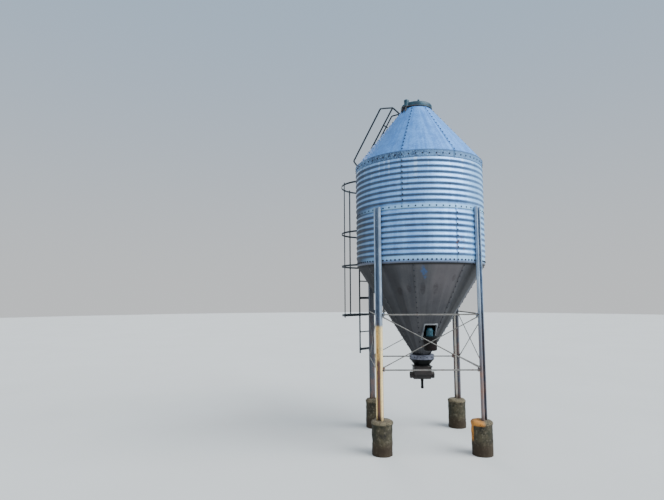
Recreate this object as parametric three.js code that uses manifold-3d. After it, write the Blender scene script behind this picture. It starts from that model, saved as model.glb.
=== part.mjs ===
// A bolted steel feed silo: two corrugated rings, a cone roof with a fill lid and a hopper with
// an auger boot, on four channel legs that stand on concrete piers, with a caged ladder behind.
import * as THREE from 'three';
import { mergeVertices } from 'three/addons/utils/BufferGeometryUtils.js';
import Module from 'manifold-3d';

const wasm = await Module();
wasm.setup();

// Driving dimensions in millimetres. Azimuth 0 is the front, -Y, and grows towards +X.
const gap = 0.3;
const facets = 48;
const smallFacets = 32;
const degree = Math.PI / 180;

const pierHeight = 500;
const pierCrownRadius = 170;
const pierBodyRadius = 158;
const pierCrownHeight = 62;
const pierChamfer = 24;
const pierRadius = 1045;

const wallRadius = 1067;
const wallBottom = pierHeight + 2322;
const corrugationDepth = 11;
const lapThickness = 6.7;
const ringHeight = 890;
const ringRise = 813;
const wallTop = wallBottom + ringRise + 879;

const panelAngle = 45;
const seamOffset = 22.5;
const hopperSeamOffset = 15;
const seamClearance = 0.01;

const eaveRadius = wallRadius + 4;
const eaveHeight = wallTop + 10;
const roofSlope = 1.2424;
const roofThickness = 4;
const skirtDrop = 106;
const collarRadius = 250;

const hopperTopRadius = wallRadius - corrugationDepth - gap;
const hopperSheet = 4;
const hopperFlange = 88;
const hopperDepth = 1452;
const hopperMouth = 141;

const legWidth = 112;
const legDepth = 46;
const legSheet = 5;
const legLip = 13;
const legTop = wallBottom + 876;

const tieUpper = wallBottom - 771;
const tieLower = wallBottom - 1590;
const tieWidth = 22;
const tieThickness = 8;
const crossRodRadius = 7;
const crossUpper = wallBottom - 795;
const crossLower = wallBottom - 1566;

const lidRadius = 270;
const lidSheet = 8;
const lidBottom = wallBottom + 2712;
const lidShoulder = wallBottom + 2786;
const lidTop = wallBottom + 2806;
const hingeAzimuth = -48;
const hingeRadius = 320;
const hingeHeight = lidBottom + 4;

const collarTop = lidShoulder - gap;
const collarBottom = wallBottom + 2650;

const windowAzimuth = 9.5;
const windowTop = wallBottom - 930;
const windowWidth = 226;
const windowLength = 300;
const windowBar = 24;

const bootRadius = 203;
const bootTop = wallBottom - hopperDepth;
const bandHeight = 72;
const funnelHeight = 114;
const funnelMouth = 125;
const troughHalfLength = 140;
const troughHalfWidth = 112;
const rimOverhang = 14;
const rimHeight = 12;
const tubeHeight = wallBottom - 1790;
const tubeRadius = 44;
const socketRadius = 52;
const socketLength = 60;

const ladderAzimuth = -135;
const ladderRadius = 1250;
const ladderHalfWidth = 140;
const stileRadius = 14;
const rungRadius = 11;
const rungPitch = 310;
const ladderBottom = wallBottom - 1530;
const ladderTop = wallBottom + 1900;
const firstRung = wallBottom - 1455;
const rungCount = 11;

const hoopCentre = 1042;
const hoopRadius = 570;
const hoopHeights = [1543, 654, 54].map((rise) => wallBottom + rise);
const lowHoopHeight = wallBottom - 840;
const flatBar = 32;
const flatBarSheet = 6;
const strapAngles = [-70, 0, 70];

const railRadius = 15;
const railStandOff = 475;

// The ladder's hoops reach further than the eave, so the silo's axis stands off the origin.
const cageReach = hoopCentre * Math.SQRT1_2 + hoopRadius + flatBarSheet / 2;
const axisShift = (cageReach - eaveRadius) / 2;

const colours = {
  galvanised: { color: 0xb4c4d6, roughness: 0.42, metalness: 0.75 },
  roofSheet: { color: 0x9fb2c6, roughness: 0.5, metalness: 0.7 },
  hopperSheet: { color: 0x5d585a, roughness: 0.6, metalness: 0.45 },
  legSteel: { color: 0xa9b2ba, roughness: 0.5, metalness: 0.7 },
  darkSteel: { color: 0x32383a, roughness: 0.6, metalness: 0.5 },
  rod: { color: 0xb9bcbd, roughness: 0.45, metalness: 0.75 },
  lid: { color: 0x5f7f7c, roughness: 0.6, metalness: 0.1 },
  concrete: { color: 0x6b6a5a, roughness: 0.95, metalness: 0 },
  frame: { color: 0xc9cdd0, roughness: 0.6, metalness: 0.1 },
  boot: { color: 0x2b3033, roughness: 0.5, metalness: 0.1 },
  band: { color: 0x8d93a3, roughness: 0.5, metalness: 0.5 },
};

const silo = new THREE.Group();
silo.position.set(axisShift, -axisShift, 0);

// Adds one named sub-part to the silo, turned about its axis by an azimuth in degrees.
function add(name, geometry, colour, azimuth = 0) {
  const mesh = new THREE.Mesh(geometry, new THREE.MeshStandardMaterial(colours[colour]));
  mesh.name = name;
  mesh.rotation.z = azimuth * degree;
  silo.add(mesh);
}

// Turns a closed outline of [radius, height] pairs, anticlockwise, about the vertical axis.
function sweep(outline, fromAzimuth, toAzimuth, steps) {
  const whole = toAzimuth - fromAzimuth >= 360;
  const columns = whole ? steps : steps + 1;
  const positions = [];
  for (let i = 0; i < columns; i++) {
    const azimuth = (fromAzimuth + ((toAzimuth - fromAzimuth) * i) / steps) * degree;
    for (const [radius, height] of outline) {
      positions.push(radius * Math.sin(azimuth), -radius * Math.cos(azimuth), height);
    }
  }
  const count = outline.length;
  const index = [];
  for (let i = 0; i < steps; i++) {
    const here = i * count;
    const next = ((i + 1) % columns) * count;
    for (let j = 0; j < count; j++) {
      const k = (j + 1) % count;
      if (outline[j][0] > 0) index.push(here + j, next + j, next + k);
      if (outline[k][0] > 0) index.push(here + j, next + k, here + k);
    }
  }
  if (!whole) {
    const points = outline.map(([radius, height]) => new THREE.Vector2(radius, height));
    for (const [a, b, c] of THREE.ShapeUtils.triangulateShape(points, [])) {
      const ab = points[b].clone().sub(points[a]);
      const ac = points[c].clone().sub(points[a]);
      const [p, q] = ab.cross(ac) > 0 ? [b, c] : [c, b];
      const end = steps * count;
      index.push(a, p, q, end + a, end + q, end + p);
    }
  }
  const geometry = new THREE.BufferGeometry();
  geometry.setAttribute('position', new THREE.Float32BufferAttribute(positions, 3));
  geometry.setIndex(index);
  return mergeVertices(geometry, 1e-3);
}

function solid(geometry) {
  const bare = geometry.clone();
  bare.deleteAttribute('normal');
  bare.deleteAttribute('uv');
  const merged = mergeVertices(bare, 1e-3);
  const vertProperties = new Float32Array(merged.attributes.position.array);
  const triVerts = new Uint32Array(merged.index.array);
  return new wasm.Manifold(new wasm.Mesh({ numProp: 3, vertProperties, triVerts }));
}

function shape(manifold) {
  const { vertProperties, triVerts } = manifold.getMesh();
  const geometry = new THREE.BufferGeometry();
  geometry.setAttribute('position', new THREE.BufferAttribute(vertProperties, 3));
  geometry.setIndex(new THREE.BufferAttribute(triVerts, 1));
  return geometry;
}

function join(geometries) {
  return shape(geometries.map(solid).reduce((whole, piece) => whole.add(piece)));
}

function cut(geometry, ...tools) {
  return shape(tools.map(solid).reduce((whole, tool) => whole.subtract(tool), solid(geometry)));
}

// A block given by its size and centre; y is outward from the axis.
function block(sizeX, sizeY, sizeZ, x, outward, z) {
  return new THREE.BoxGeometry(sizeX, sizeY, sizeZ).translate(x, -outward, z);
}

// A round bar between two points given as [x, outward, z].
function rod(from, to, radius, sides = 8) {
  const start = new THREE.Vector3(from[0], -from[1], from[2]);
  const end = new THREE.Vector3(to[0], -to[1], to[2]);
  const along = end.clone().sub(start);
  const geometry = new THREE.CylinderGeometry(radius, radius, along.length(), sides);
  const up = new THREE.Vector3(0, 1, 0);
  geometry.applyQuaternion(new THREE.Quaternion().setFromUnitVectors(up, along.normalize()));
  const middle = start.add(end).multiplyScalar(0.5);
  return geometry.translate(middle.x, middle.y, middle.z);
}

// A bent round bar: straight lengths with a ball at each bend.
function bentBar(points, radius) {
  const pieces = [];
  for (let i = 0; i + 1 < points.length; i++) pieces.push(rod(points[i], points[i + 1], radius));
  for (const [x, outward, z] of points.slice(1, -1)) {
    pieces.push(new THREE.SphereGeometry(radius, 8, 6).translate(x, -outward, z));
  }
  return pieces;
}

const corners = [
  ['front_left', -45],
  ['front_right', 45],
  ['back_right', 135],
  ['back_left', -135],
];
const sides = [
  ['front', 0],
  ['right', 90],
  ['back', 180],
  ['left', -90],
];

// Round concrete piers, each cast with a crown that stands a little proud of its body.
function pier() {
  const crownBottom = pierHeight - pierCrownHeight;
  const step = pierCrownRadius - pierBodyRadius;
  const outline = [
    [0, 0],
    [pierBodyRadius, 0],
    [pierBodyRadius, crownBottom - step],
    [pierCrownRadius, crownBottom],
    [pierCrownRadius, pierHeight - pierChamfer],
    [pierCrownRadius - pierChamfer, pierHeight],
    [0, pierHeight],
  ];
  return sweep(outline, 0, 360, smallFacets).translate(0, -pierRadius, 0);
}

// A channel leg with its web on the wall, its flanges outward and a lip along each flange.
function leg() {
  const half = legWidth / 2;
  const inner = half - legSheet;
  const side = [
    [half, 0],
    [half, -legDepth],
    [half - legLip, -legDepth],
    [half - legLip, legSheet - legDepth],
    [inner, legSheet - legDepth],
    [inner, -legSheet],
  ];
  const other = side.map(([x, y]) => [-x, y]).reverse();
  const channel = new THREE.Shape([...side, ...other].map(([x, y]) => new THREE.Vector2(x, y)));
  const depth = legTop - pierHeight - gap;
  const geometry = new THREE.ExtrudeGeometry(channel, { depth, bevelEnabled: false });
  return geometry.translate(0, -wallRadius - gap, pierHeight + gap);
}

function legEnvelope(azimuth) {
  const height = legTop - pierHeight;
  const middle = wallRadius + legDepth / 2;
  const box = block(legWidth + 2 * gap, legDepth + 2, height, 0, middle, pierHeight + height / 2);
  return box.rotateZ(azimuth * degree);
}

for (const [name, azimuth] of corners) {
  add(`pier_${name}`, pier(), 'concrete', azimuth);
  add(`leg_${name}`, leg(), 'legSteel', azimuth);
}

// Ties and crossed rods between neighbouring legs, each ended on the legs' flanges.
function between(bar) {
  return cut(bar, legEnvelope(-45), legEnvelope(45));
}

const tieLine = wallRadius * Math.SQRT1_2 + 55;
const tieReach = tieLine - 72;

for (const [name, azimuth] of sides) {
  for (const [level, height] of [['upper', tieUpper], ['lower', tieLower]]) {
    const bar = block(2 * tieReach, tieThickness, tieWidth, 0, tieLine, height);
    add(`tie_${level}_${name}`, between(bar), 'rod', azimuth);
  }
  for (const [letter, sign] of [['a', 1], ['b', -1]]) {
    const line = tieLine + sign * (crossRodRadius + gap);
    const from = [-tieReach, line, sign > 0 ? crossUpper : crossLower];
    const to = [tieReach, line, sign > 0 ? crossLower : crossUpper];
    add(`cross_rod_${name}_${letter}`, between(rod(from, to, crossRodRadius)), 'rod', azimuth);
  }
}

// Each ring of the wall is two half-round sheets; the upper ring laps outside the lower one.
const innerRadius = wallRadius - corrugationDepth;
const lapRadius = wallRadius - lapThickness;
const lapBottom = wallBottom + ringRise;
const lapTop = wallBottom + ringHeight;
const lowerSheet = [
  [innerRadius, wallBottom],
  [wallRadius, wallBottom],
  [wallRadius, lapBottom - gap],
  [lapRadius - gap, lapBottom - gap],
  [lapRadius - gap, lapTop - gap],
  [innerRadius, lapTop - gap],
];
const upperSheet = [
  [lapRadius, lapBottom],
  [wallRadius, lapBottom],
  [wallRadius, wallTop],
  [innerRadius, wallTop],
  [innerRadius, lapTop],
  [lapRadius, lapTop],
];

function sector(outline, fromAzimuth, angle) {
  const steps = Math.round((facets * angle) / 360);
  const start = fromAzimuth + seamClearance;
  return sweep(outline, start, fromAzimuth + angle - seamClearance, steps);
}

for (const [letter, turn] of [['a', 0], ['b', 180]]) {
  add(`wall_lower_sheet_${letter}`, sector(lowerSheet, seamOffset + turn, 180), 'galvanised');
  add(`wall_upper_sheet_${letter}`, sector(upperSheet, -seamOffset + turn, 180), 'galvanised');
}

// Roof panels, each with its lower edge turned down over the top of the wall.
const roofVertical = roofThickness * Math.hypot(1, roofSlope);
const roofHeight = (radius) => eaveHeight + (eaveRadius - radius) * roofSlope;
const skirtRadius = wallRadius + gap;
const roofEdge = collarRadius / Math.cos(Math.PI / facets) + gap;
const roofPanel = [
  [eaveRadius, eaveHeight - skirtDrop],
  [eaveRadius, eaveHeight],
  [roofEdge, roofHeight(roofEdge)],
  [roofEdge, roofHeight(roofEdge) - roofVertical],
  [skirtRadius, roofHeight(skirtRadius) - roofVertical],
  [skirtRadius, eaveHeight - skirtDrop],
];

// Hopper panels, each with an upright flange inside the foot of the wall.
const hopperSlope = hopperDepth / (hopperTopRadius - hopperMouth);
const hopperRadius = (drop) => hopperTopRadius - drop / hopperSlope;
const hopperAcross = hopperSheet * Math.hypot(1, 1 / hopperSlope);
const hopperPanel = [
  [hopperMouth, wallBottom - hopperDepth],
  [hopperTopRadius, wallBottom],
  [hopperTopRadius, wallBottom + hopperFlange],
  [hopperTopRadius - hopperSheet, wallBottom + hopperFlange],
  [hopperTopRadius - hopperSheet, wallBottom + (hopperAcross - hopperSheet) * hopperSlope],
  [hopperMouth - hopperAcross, wallBottom - hopperDepth],
];

// The window lies on the hopper's slope: its own axes are across, out and down the slope.
const windowMiddle = windowTop - (windowLength / 2) * Math.sin(Math.atan(hopperSlope));
const windowRadius = hopperRadius(wallBottom - windowMiddle);

function onWindow(geometry) {
  const lean = Math.PI / 2 - Math.atan(hopperSlope);
  geometry.rotateX(lean);
  geometry.translate(0, -windowRadius, windowMiddle);
  return geometry.rotateZ(windowAzimuth * degree);
}

const windowOpening = onWindow(
  new THREE.BoxGeometry(windowWidth - 2 * windowBar, 160, windowLength - 2 * windowBar),
);

for (let i = 0; i < 360 / panelAngle; i++) {
  const from = i * panelAngle - seamOffset;
  add(`roof_panel_${i + 1}`, sector(roofPanel, from, panelAngle), 'roofSheet');
  const plain = sector(hopperPanel, i * panelAngle - hopperSeamOffset, panelAngle);
  add(`hopper_panel_${i + 1}`, i === 0 ? cut(plain, windowOpening) : plain, 'hopperSheet');
}

// The window's frame follows the cone behind it. An outlet pot with a domed cap stands before it.
const frameDepth = 76;
const frameProud = 18;
const coneAndClearance = sweep(
  [
    [0, wallBottom - hopperDepth],
    [hopperMouth + gap, wallBottom - hopperDepth],
    [hopperTopRadius + gap, wallBottom],
    [0, wallBottom],
  ],
  -seamOffset,
  360 - seamOffset,
  facets,
);

// A slab on the window, as wide and long as asked, that stands proud of the cone.
function windowSlab(width, length, depth, proud) {
  const slab = new THREE.BoxGeometry(width, depth, length);
  return onWindow(slab.translate(0, depth / 2 - proud, 0));
}

function windowFrame() {
  const slab = windowSlab(windowWidth, windowLength, frameDepth, frameProud);
  return cut(slab, windowOpening, coneAndClearance);
}

add('window_frame', windowFrame(), 'frame');

const potRadius = 112;
const potCentre = 420;
const potTop = wallBottom - 1125;
const potBottom = wallBottom - 1350;
const potRim = 22;
const potWaist = 8;
const potOutline = [
  [0, potBottom],
  [potRadius - potWaist - 16, potBottom],
  [potRadius - potWaist, potBottom + 16],
  [potRadius - potWaist, potTop - potRim],
  [potRadius, potTop - potRim],
  [potRadius, potTop],
  [0, potTop],
];

function outletPot() {
  const pot = sweep(potOutline, 0, 360, 32).translate(0, -potCentre, 0);
  pot.rotateZ(windowAzimuth * degree);
  const clearance = 2 * gap;
  const width = windowWidth + clearance;
  const length = windowLength + clearance;
  const behindFrame = windowSlab(width, length, 400, frameProud + gap);
  return cut(pot, coneAndClearance, behindFrame);
}

add('outlet_pot', outletPot(), 'boot');

const capRadius = 57;
const capCentre = 392;
const capBottom = potTop + gap;
const capStraight = 82;

// The cap is straight below and half a ball above, a little flattened.
function outletCap() {
  const outline = [[0, capBottom]];
  const bend = 6;
  for (let i = 0; i <= bend; i++) {
    const angle = (i / bend) * 90 * degree;
    const height = capBottom + capStraight + capRadius * 0.9 * Math.sin(angle);
    if (i === 0) outline.push([capRadius, capBottom]);
    outline.push([i < bend ? capRadius * Math.cos(angle) : 0, height]);
  }
  return sweep(outline, 0, 360, 24).translate(0, -capCentre, 0);
}

add('outlet_cap', outletCap(), 'lid', windowAzimuth);

// Fill collar with its turned-in lip, which carries the lid.
const collar = [
  [collarRadius - 5, collarBottom],
  [collarRadius, collarBottom],
  [collarRadius, collarTop],
  [collarRadius - 24, collarTop],
  [collarRadius - 24, collarTop - 5],
  [collarRadius - 5, collarTop - 5],
];
add('fill_collar', sweep(collar, 0, 360, smallFacets), 'galvanised');

// The lid is a low cap with a rounded shoulder, a spring barrel over its hinge and a knob.
const lidInside = lidRadius - lidSheet;
const lidCap = [
  [lidInside, lidBottom],
  [lidRadius, lidBottom],
  [lidRadius, lidShoulder],
  [lidRadius - 22, lidTop],
  [0, lidTop + 24],
  [0, lidShoulder],
  [lidInside, lidShoulder],
];
const lidSpace = [
  [0, lidBottom - 1],
  [lidInside, lidBottom - 1],
  [lidInside, lidShoulder],
  [0, lidShoulder],
];
const barrelRadius = 45;
const barrelTop = lidTop + 46;
const barrelOutline = [
  [0, lidBottom],
  [barrelRadius, lidBottom],
  [barrelRadius, barrelTop - 16],
  [barrelRadius - 16, barrelTop],
  [0, barrelTop],
];
const armHalfWidth = 22;
const armLength = 52;
const armHeight = 24;
const pinRadius = 7;
const pinClearance = 1;
const cheekSheet = 8;
const cheekClearance = 6;
const cheekRadius = 14;
const knobAcross = 43;
const knobTop = lidTop + 132;
const knobRadius = 20;

function hingePin(halfLength, radius) {
  const from = [-halfLength, hingeRadius, hingeHeight];
  return rod(from, [halfLength, hingeRadius, hingeHeight], radius, 12);
}

function lid() {
  const barrel = sweep(barrelOutline, 0, 360, 16).translate(0, -lidInside, 0);
  const armMiddle = hingeRadius - armLength / 2 + cheekRadius;
  const arm = block(2 * armHalfWidth, armLength, armHeight, 0, armMiddle, hingeHeight);
  const cap = sweep(lidCap, 0, 360, smallFacets);
  const stem = rod([0, 0, lidTop], [0, 0, knobTop - knobRadius], knobRadius / 2);
  const ball = new THREE.SphereGeometry(knobRadius, 12, 8).translate(0, 0, knobTop - knobRadius);
  const knob = [stem, ball].map((piece) => piece.translate(knobAcross, 0, 0));
  for (const piece of knob) piece.rotateZ(-hingeAzimuth * degree);
  const ears = cut(join([barrel, arm]), sweep(lidSpace, 0, 360, smallFacets));
  return cut(join([cap, ears, ...knob]), hingePin(armLength, pinRadius + pinClearance));
}

add('fill_lid', lid(), 'lid', hingeAzimuth);

// Everything under the roof's outer faces, grown by the running gap.
const roofEnvelope = sweep(
  [
    [0, eaveHeight],
    [eaveRadius, eaveHeight + gap * Math.hypot(1, roofSlope)],
    [roofEdge, roofHeight(roofEdge) + gap * Math.hypot(1, roofSlope)],
    [0, roofHeight(roofEdge) + gap * Math.hypot(1, roofSlope)],
  ],
  -seamOffset,
  360 - seamOffset,
  facets,
);

// Two cheeks on the roof hold the pin that the lid's arm turns on.
function hingeBracket() {
  const inner = armHalfWidth + cheekClearance;
  const foot = roofHeight(hingeRadius) - 60;
  const height = hingeHeight - foot;
  const pieces = [hingePin(inner + cheekSheet / 2, pinRadius)];
  for (const side of [-1, 1]) {
    const x = side * (inner + cheekSheet / 2);
    pieces.push(block(cheekSheet, 2 * cheekRadius, height, x, hingeRadius, foot + height / 2));
    const from = [x - cheekSheet / 2, hingeRadius, hingeHeight];
    pieces.push(rod(from, [x + cheekSheet / 2, hingeRadius, hingeHeight], cheekRadius, 16));
  }
  return cut(join(pieces).rotateZ(hingeAzimuth * degree), roofEnvelope);
}

add('lid_hinge', hingeBracket(), 'darkSteel');

// Boot under the hopper: a band, a funnel and a trough with an open round socket at each end.
const bandSheet = 6;
const bandBottom = bootTop - bandHeight;
const bootBand = [
  [hopperMouth - 13, bootTop - gap - bandSheet],
  [bootRadius - bandSheet, bootTop - gap - bandSheet],
  [bootRadius - bandSheet, bandBottom],
  [bootRadius, bandBottom],
  [bootRadius, bootTop - gap],
  [hopperMouth - 13, bootTop - gap],
];
const funnelTop = bandBottom - gap;
const funnelBottom = funnelTop - funnelHeight;
const funnel = [
  [funnelMouth - bandSheet, funnelBottom],
  [funnelMouth, funnelBottom],
  [bootRadius - 1, funnelTop],
  [bootRadius - 1 - bandSheet, funnelTop],
];
add('boot_band', sweep(bootBand, 0, 360, smallFacets), 'band');
add('boot_funnel', sweep(funnel, 0, 360, smallFacets), 'boot');

// The trough's outline across its length: straight sides on a round bottom.
function troughOutline(halfWidth, bottomRadius, top) {
  const outline = new THREE.Shape();
  outline.moveTo(halfWidth, top);
  outline.lineTo(-halfWidth, top);
  outline.absarc(0, tubeHeight, bottomRadius, Math.PI, 2 * Math.PI);
  return outline;
}

function trough(halfWidth, bottomRadius, halfLength, top) {
  const settings = { depth: 2 * halfLength, bevelEnabled: false, curveSegments: 10 };
  const geometry = new THREE.ExtrudeGeometry(troughOutline(halfWidth, bottomRadius, top), settings);
  return geometry.translate(0, 0, -halfLength).rotateX(Math.PI / 2).rotateZ(Math.PI / 2);
}

const troughTop = funnelBottom - gap;
const troughSheet = 5;
const troughBottomRadius = 72;

function augerBoot() {
  const across = 2 * (troughHalfWidth + rimOverhang);
  const along = 2 * (troughHalfLength + rimOverhang);
  const rim = block(along, across, rimHeight, 0, 0, troughTop - rimHeight / 2);
  const reach = troughHalfLength + socketLength;
  const pipe = (radius) => rod([-reach, 0, tubeHeight], [reach, 0, tubeHeight], radius, 20);
  const body = trough(troughHalfWidth, troughBottomRadius, troughHalfLength, troughTop - 1);
  const hollow = trough(
    troughHalfWidth - troughSheet,
    troughBottomRadius - troughSheet,
    troughHalfLength - troughSheet,
    troughTop + 1,
  );
  return cut(join([rim, body, pipe(socketRadius)]), hollow, pipe(tubeRadius).scale(1.1, 1, 1));
}

add('auger_boot', augerBoot(), 'boot');

const cleanoutHeight = 150;
const cleanoutTop = tubeHeight - troughBottomRadius - gap;
const cleanout = [
  [0, cleanoutTop - cleanoutHeight],
  [24, cleanoutTop - cleanoutHeight],
  [24, cleanoutTop - cleanoutHeight + 34],
  [14, cleanoutTop - cleanoutHeight + 44],
  [14, cleanoutTop],
  [0, cleanoutTop],
];
add('cleanout_handle', sweep(cleanout, 0, 360, 12), 'darkSteel');

// Ladder from below the hopper to above the eave, with brackets to the leg and the wall.
const bracketHeights = [0, 3, 6, 9].map((rung) => firstRung + rung * rungPitch);
const bracketSheet = 8;
const bracketHeight = 44;
const bracketHalfWidth = 24;

function bracket(height) {
  const carrier = height < legTop ? wallRadius + gap + legDepth : wallRadius;
  const seat = carrier + gap;
  const strapRadius = ladderRadius - stileRadius + bracketSheet / 2;
  const armReach = strapRadius - seat;
  const middle = seat + armReach / 2;
  const plate = seat + bracketSheet / 2;
  return [
    block(2 * ladderHalfWidth, bracketSheet, bracketHeight, 0, strapRadius, height),
    block(2 * bracketHalfWidth, armReach, bracketSheet, 0, middle, height),
    block(legWidth, bracketSheet, bracketHeight, 0, plate, height),
  ];
}

function wallLadder() {
  const pieces = [];
  for (const x of [-ladderHalfWidth, ladderHalfWidth]) {
    pieces.push(rod([x, ladderRadius, ladderBottom], [x, ladderRadius, ladderTop], stileRadius));
  }
  for (let i = 0; i < rungCount; i++) {
    const height = firstRung + i * rungPitch;
    const from = [-ladderHalfWidth, ladderRadius, height];
    pieces.push(rod(from, [ladderHalfWidth, ladderRadius, height], rungRadius, 6));
  }
  for (const height of bracketHeights) pieces.push(...bracket(height));
  return join(pieces);
}

add('wall_ladder', wallLadder(), 'darkSteel', ladderAzimuth);

// Safety cage: flat hoops from wall to wall around the ladder, tied by upright straps. The lowest
// hoop is below the wall, so a cross bar closes it behind the ladder's stiles.
const hoopSpread = 105;
const hoopSteps = 21;
const strapRadius = hoopRadius - 2;
const strapHalfAngle = flatBar / 2 / strapRadius / degree;

function hoop(height) {
  const outline = [
    [hoopRadius - flatBarSheet / 2, height - flatBar / 2],
    [hoopRadius + flatBarSheet / 2, height - flatBar / 2],
    [hoopRadius + flatBarSheet / 2, height + flatBar / 2],
    [hoopRadius - flatBarSheet / 2, height + flatBar / 2],
  ];
  return sweep(outline, -hoopSpread, hoopSpread, hoopSteps).translate(0, -hoopCentre, 0);
}

function strap(angle) {
  const bottom = lowHoopHeight - flatBar / 2;
  const top = hoopHeights[0] + flatBar / 2;
  const outline = [
    [strapRadius, bottom],
    [strapRadius + flatBarSheet, bottom],
    [strapRadius + flatBarSheet, top],
    [strapRadius, top],
  ];
  const from = angle - strapHalfAngle;
  return sweep(outline, from, angle + strapHalfAngle, 1).translate(0, -hoopCentre, 0);
}

function ladderCage() {
  const wallFoot = wallBottom - 10;
  const wallEnvelope = sweep(
    [[0, wallFoot], [wallRadius + gap, wallFoot], [wallRadius + gap, wallTop], [0, wallTop]],
    -seamOffset,
    360 - seamOffset,
    facets,
  );
  const stileFace = ladderRadius + stileRadius + gap;
  const behind = block(4 * hoopRadius, 2 * stileFace, 2 * flatBar, 0, 0, lowHoopHeight);
  const crossBarRadius = stileFace + flatBarSheet / 2;
  const reach = Math.sqrt(hoopRadius ** 2 - (crossBarRadius - hoopCentre) ** 2);
  const crossBar = block(2 * reach, flatBarSheet, flatBar, 0, crossBarRadius, lowHoopHeight);
  const lowHoop = join([cut(hoop(lowHoopHeight), behind), crossBar]);
  const hoops = hoopHeights.map((height) => cut(hoop(height), wallEnvelope));
  return join([lowHoop, ...hoops, ...strapAngles.map(strap)]);
}

add('ladder_cage', ladderCage(), 'darkSteel', ladderAzimuth);

// Hand rails over the roof. They start on the ladder's stiles; the far one has a stay at its top,
// posts down to the roof and a second rail under it, whose upper end is bent level, then down.
const nearRailEnd = 320;
const farRailEnd = 256;
const railStart = 1000;
const railSocket = 40;
const midRailStandOff = 395;
const midRailStart = 760;
const midRailEnd = 342;
const postRadii = [720, 480];
const stayFoot = 290;
const roofAngle = Math.atan(roofSlope);

function overRoof(x, radius, standOff) {
  const outward = radius + standOff * Math.sin(roofAngle);
  return [x, outward, roofHeight(radius) + standOff * Math.cos(roofAngle)];
}

function roofRails() {
  const near = ladderHalfWidth;
  const far = -ladderHalfWidth;
  const rail = (x, end) => [
    [x, ladderRadius, ladderTop + gap],
    [x, ladderRadius, ladderTop + railSocket],
    overRoof(x, railStart, railStandOff),
    overRoof(x, end, railStandOff),
  ];
  const farTop = overRoof(far, farRailEnd, railStandOff);
  const midTop = overRoof(far, midRailEnd, midRailStandOff);
  const bendOutward = midTop[1] - 250;
  const pieces = [
    ...bentBar([...rail(near, nearRailEnd), farTop], railRadius),
    ...bentBar([...rail(far, farRailEnd), overRoof(far + 40, stayFoot, -20)], railRadius),
    ...bentBar(
      [
        overRoof(far, midRailStart, midRailStandOff),
        midTop,
        [far, bendOutward + 70, midTop[2] - 12],
        [far, bendOutward, roofHeight(Math.hypot(bendOutward, far)) - 20],
      ],
      railRadius,
    ),
  ];
  for (const radius of postRadii) {
    const foot = overRoof(far, radius, -20);
    pieces.push(rod(foot, overRoof(far, radius, railStandOff), rungRadius));
  }
  return cut(join(pieces), roofEnvelope);
}

add('roof_rails', roofRails(), 'darkSteel', ladderAzimuth);

export default silo;
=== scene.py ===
import math
import random

import bmesh
import bpy
from mathutils import Matrix, Vector, noise


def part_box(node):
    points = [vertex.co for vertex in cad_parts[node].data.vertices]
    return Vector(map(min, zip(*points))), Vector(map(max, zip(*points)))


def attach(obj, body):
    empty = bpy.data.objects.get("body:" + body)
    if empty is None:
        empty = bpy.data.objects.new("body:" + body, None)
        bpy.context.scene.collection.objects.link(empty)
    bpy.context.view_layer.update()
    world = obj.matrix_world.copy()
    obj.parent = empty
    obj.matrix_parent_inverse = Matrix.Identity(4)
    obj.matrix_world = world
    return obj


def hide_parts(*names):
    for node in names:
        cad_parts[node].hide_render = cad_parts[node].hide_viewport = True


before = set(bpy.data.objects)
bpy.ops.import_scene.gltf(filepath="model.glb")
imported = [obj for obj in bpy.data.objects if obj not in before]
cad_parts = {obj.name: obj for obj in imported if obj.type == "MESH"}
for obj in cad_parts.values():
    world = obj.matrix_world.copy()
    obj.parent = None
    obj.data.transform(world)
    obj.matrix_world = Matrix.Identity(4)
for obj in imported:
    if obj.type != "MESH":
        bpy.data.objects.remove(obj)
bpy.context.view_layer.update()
print("frame loaded")

# Heights are in metres; "rise" means height over the wall's lower edge.
# Azimuth is in degrees, 0 at the front (-Y) and growing towards +X.
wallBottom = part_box("wall_lower_sheet_a")[0].z
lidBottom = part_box("fill_lid")[0].z + 0.008     # the lid's arm hangs this much below its edge
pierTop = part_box("pier_front_left")[1].z
corners = {"front_left": -45, "front_right": 45, "back_right": 135, "back_left": -135}
sideTurns = {"front": 0, "right": 90, "back": 180, "left": -90}
up = Vector((0, 0, 1))
panels = 8                  # in the roof, and in the hopper
panelTurn = 360 / panels


def middle(node):
    low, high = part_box(node)
    return (low + high) / 2


axis = middle("fill_collar")


def spot(azimuth, across, outward, z):
    a = math.radians(azimuth)
    x = axis.x + across * math.cos(a) + outward * math.sin(a)
    y = axis.y + across * math.sin(a) - outward * math.cos(a)
    return Vector((x, y, z))


def polar(azimuth, radius, z):
    return spot(azimuth, 0, radius, z)


def sideways(azimuth):
    # a unit vector to the right, as seen from outside
    return spot(azimuth, 1, 0, 0) - spot(azimuth, 0, 0, 0)


def outward(azimuth, tilt=0.0):
    # a unit vector away from the axis, tilted up by so many degrees
    a, t = math.radians(azimuth), math.radians(tilt)
    return Vector((math.sin(a) * math.cos(t), -math.cos(a) * math.cos(t), math.sin(t)))


# Camera and lights

cameraValues = {
    "lens": 25.45,
    "fromAxis": (-1.393, -7.951, 2.336),
    "turn": 0.645,
    "lookUp": 5.585,
    "roll": -0.233,
}

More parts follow.
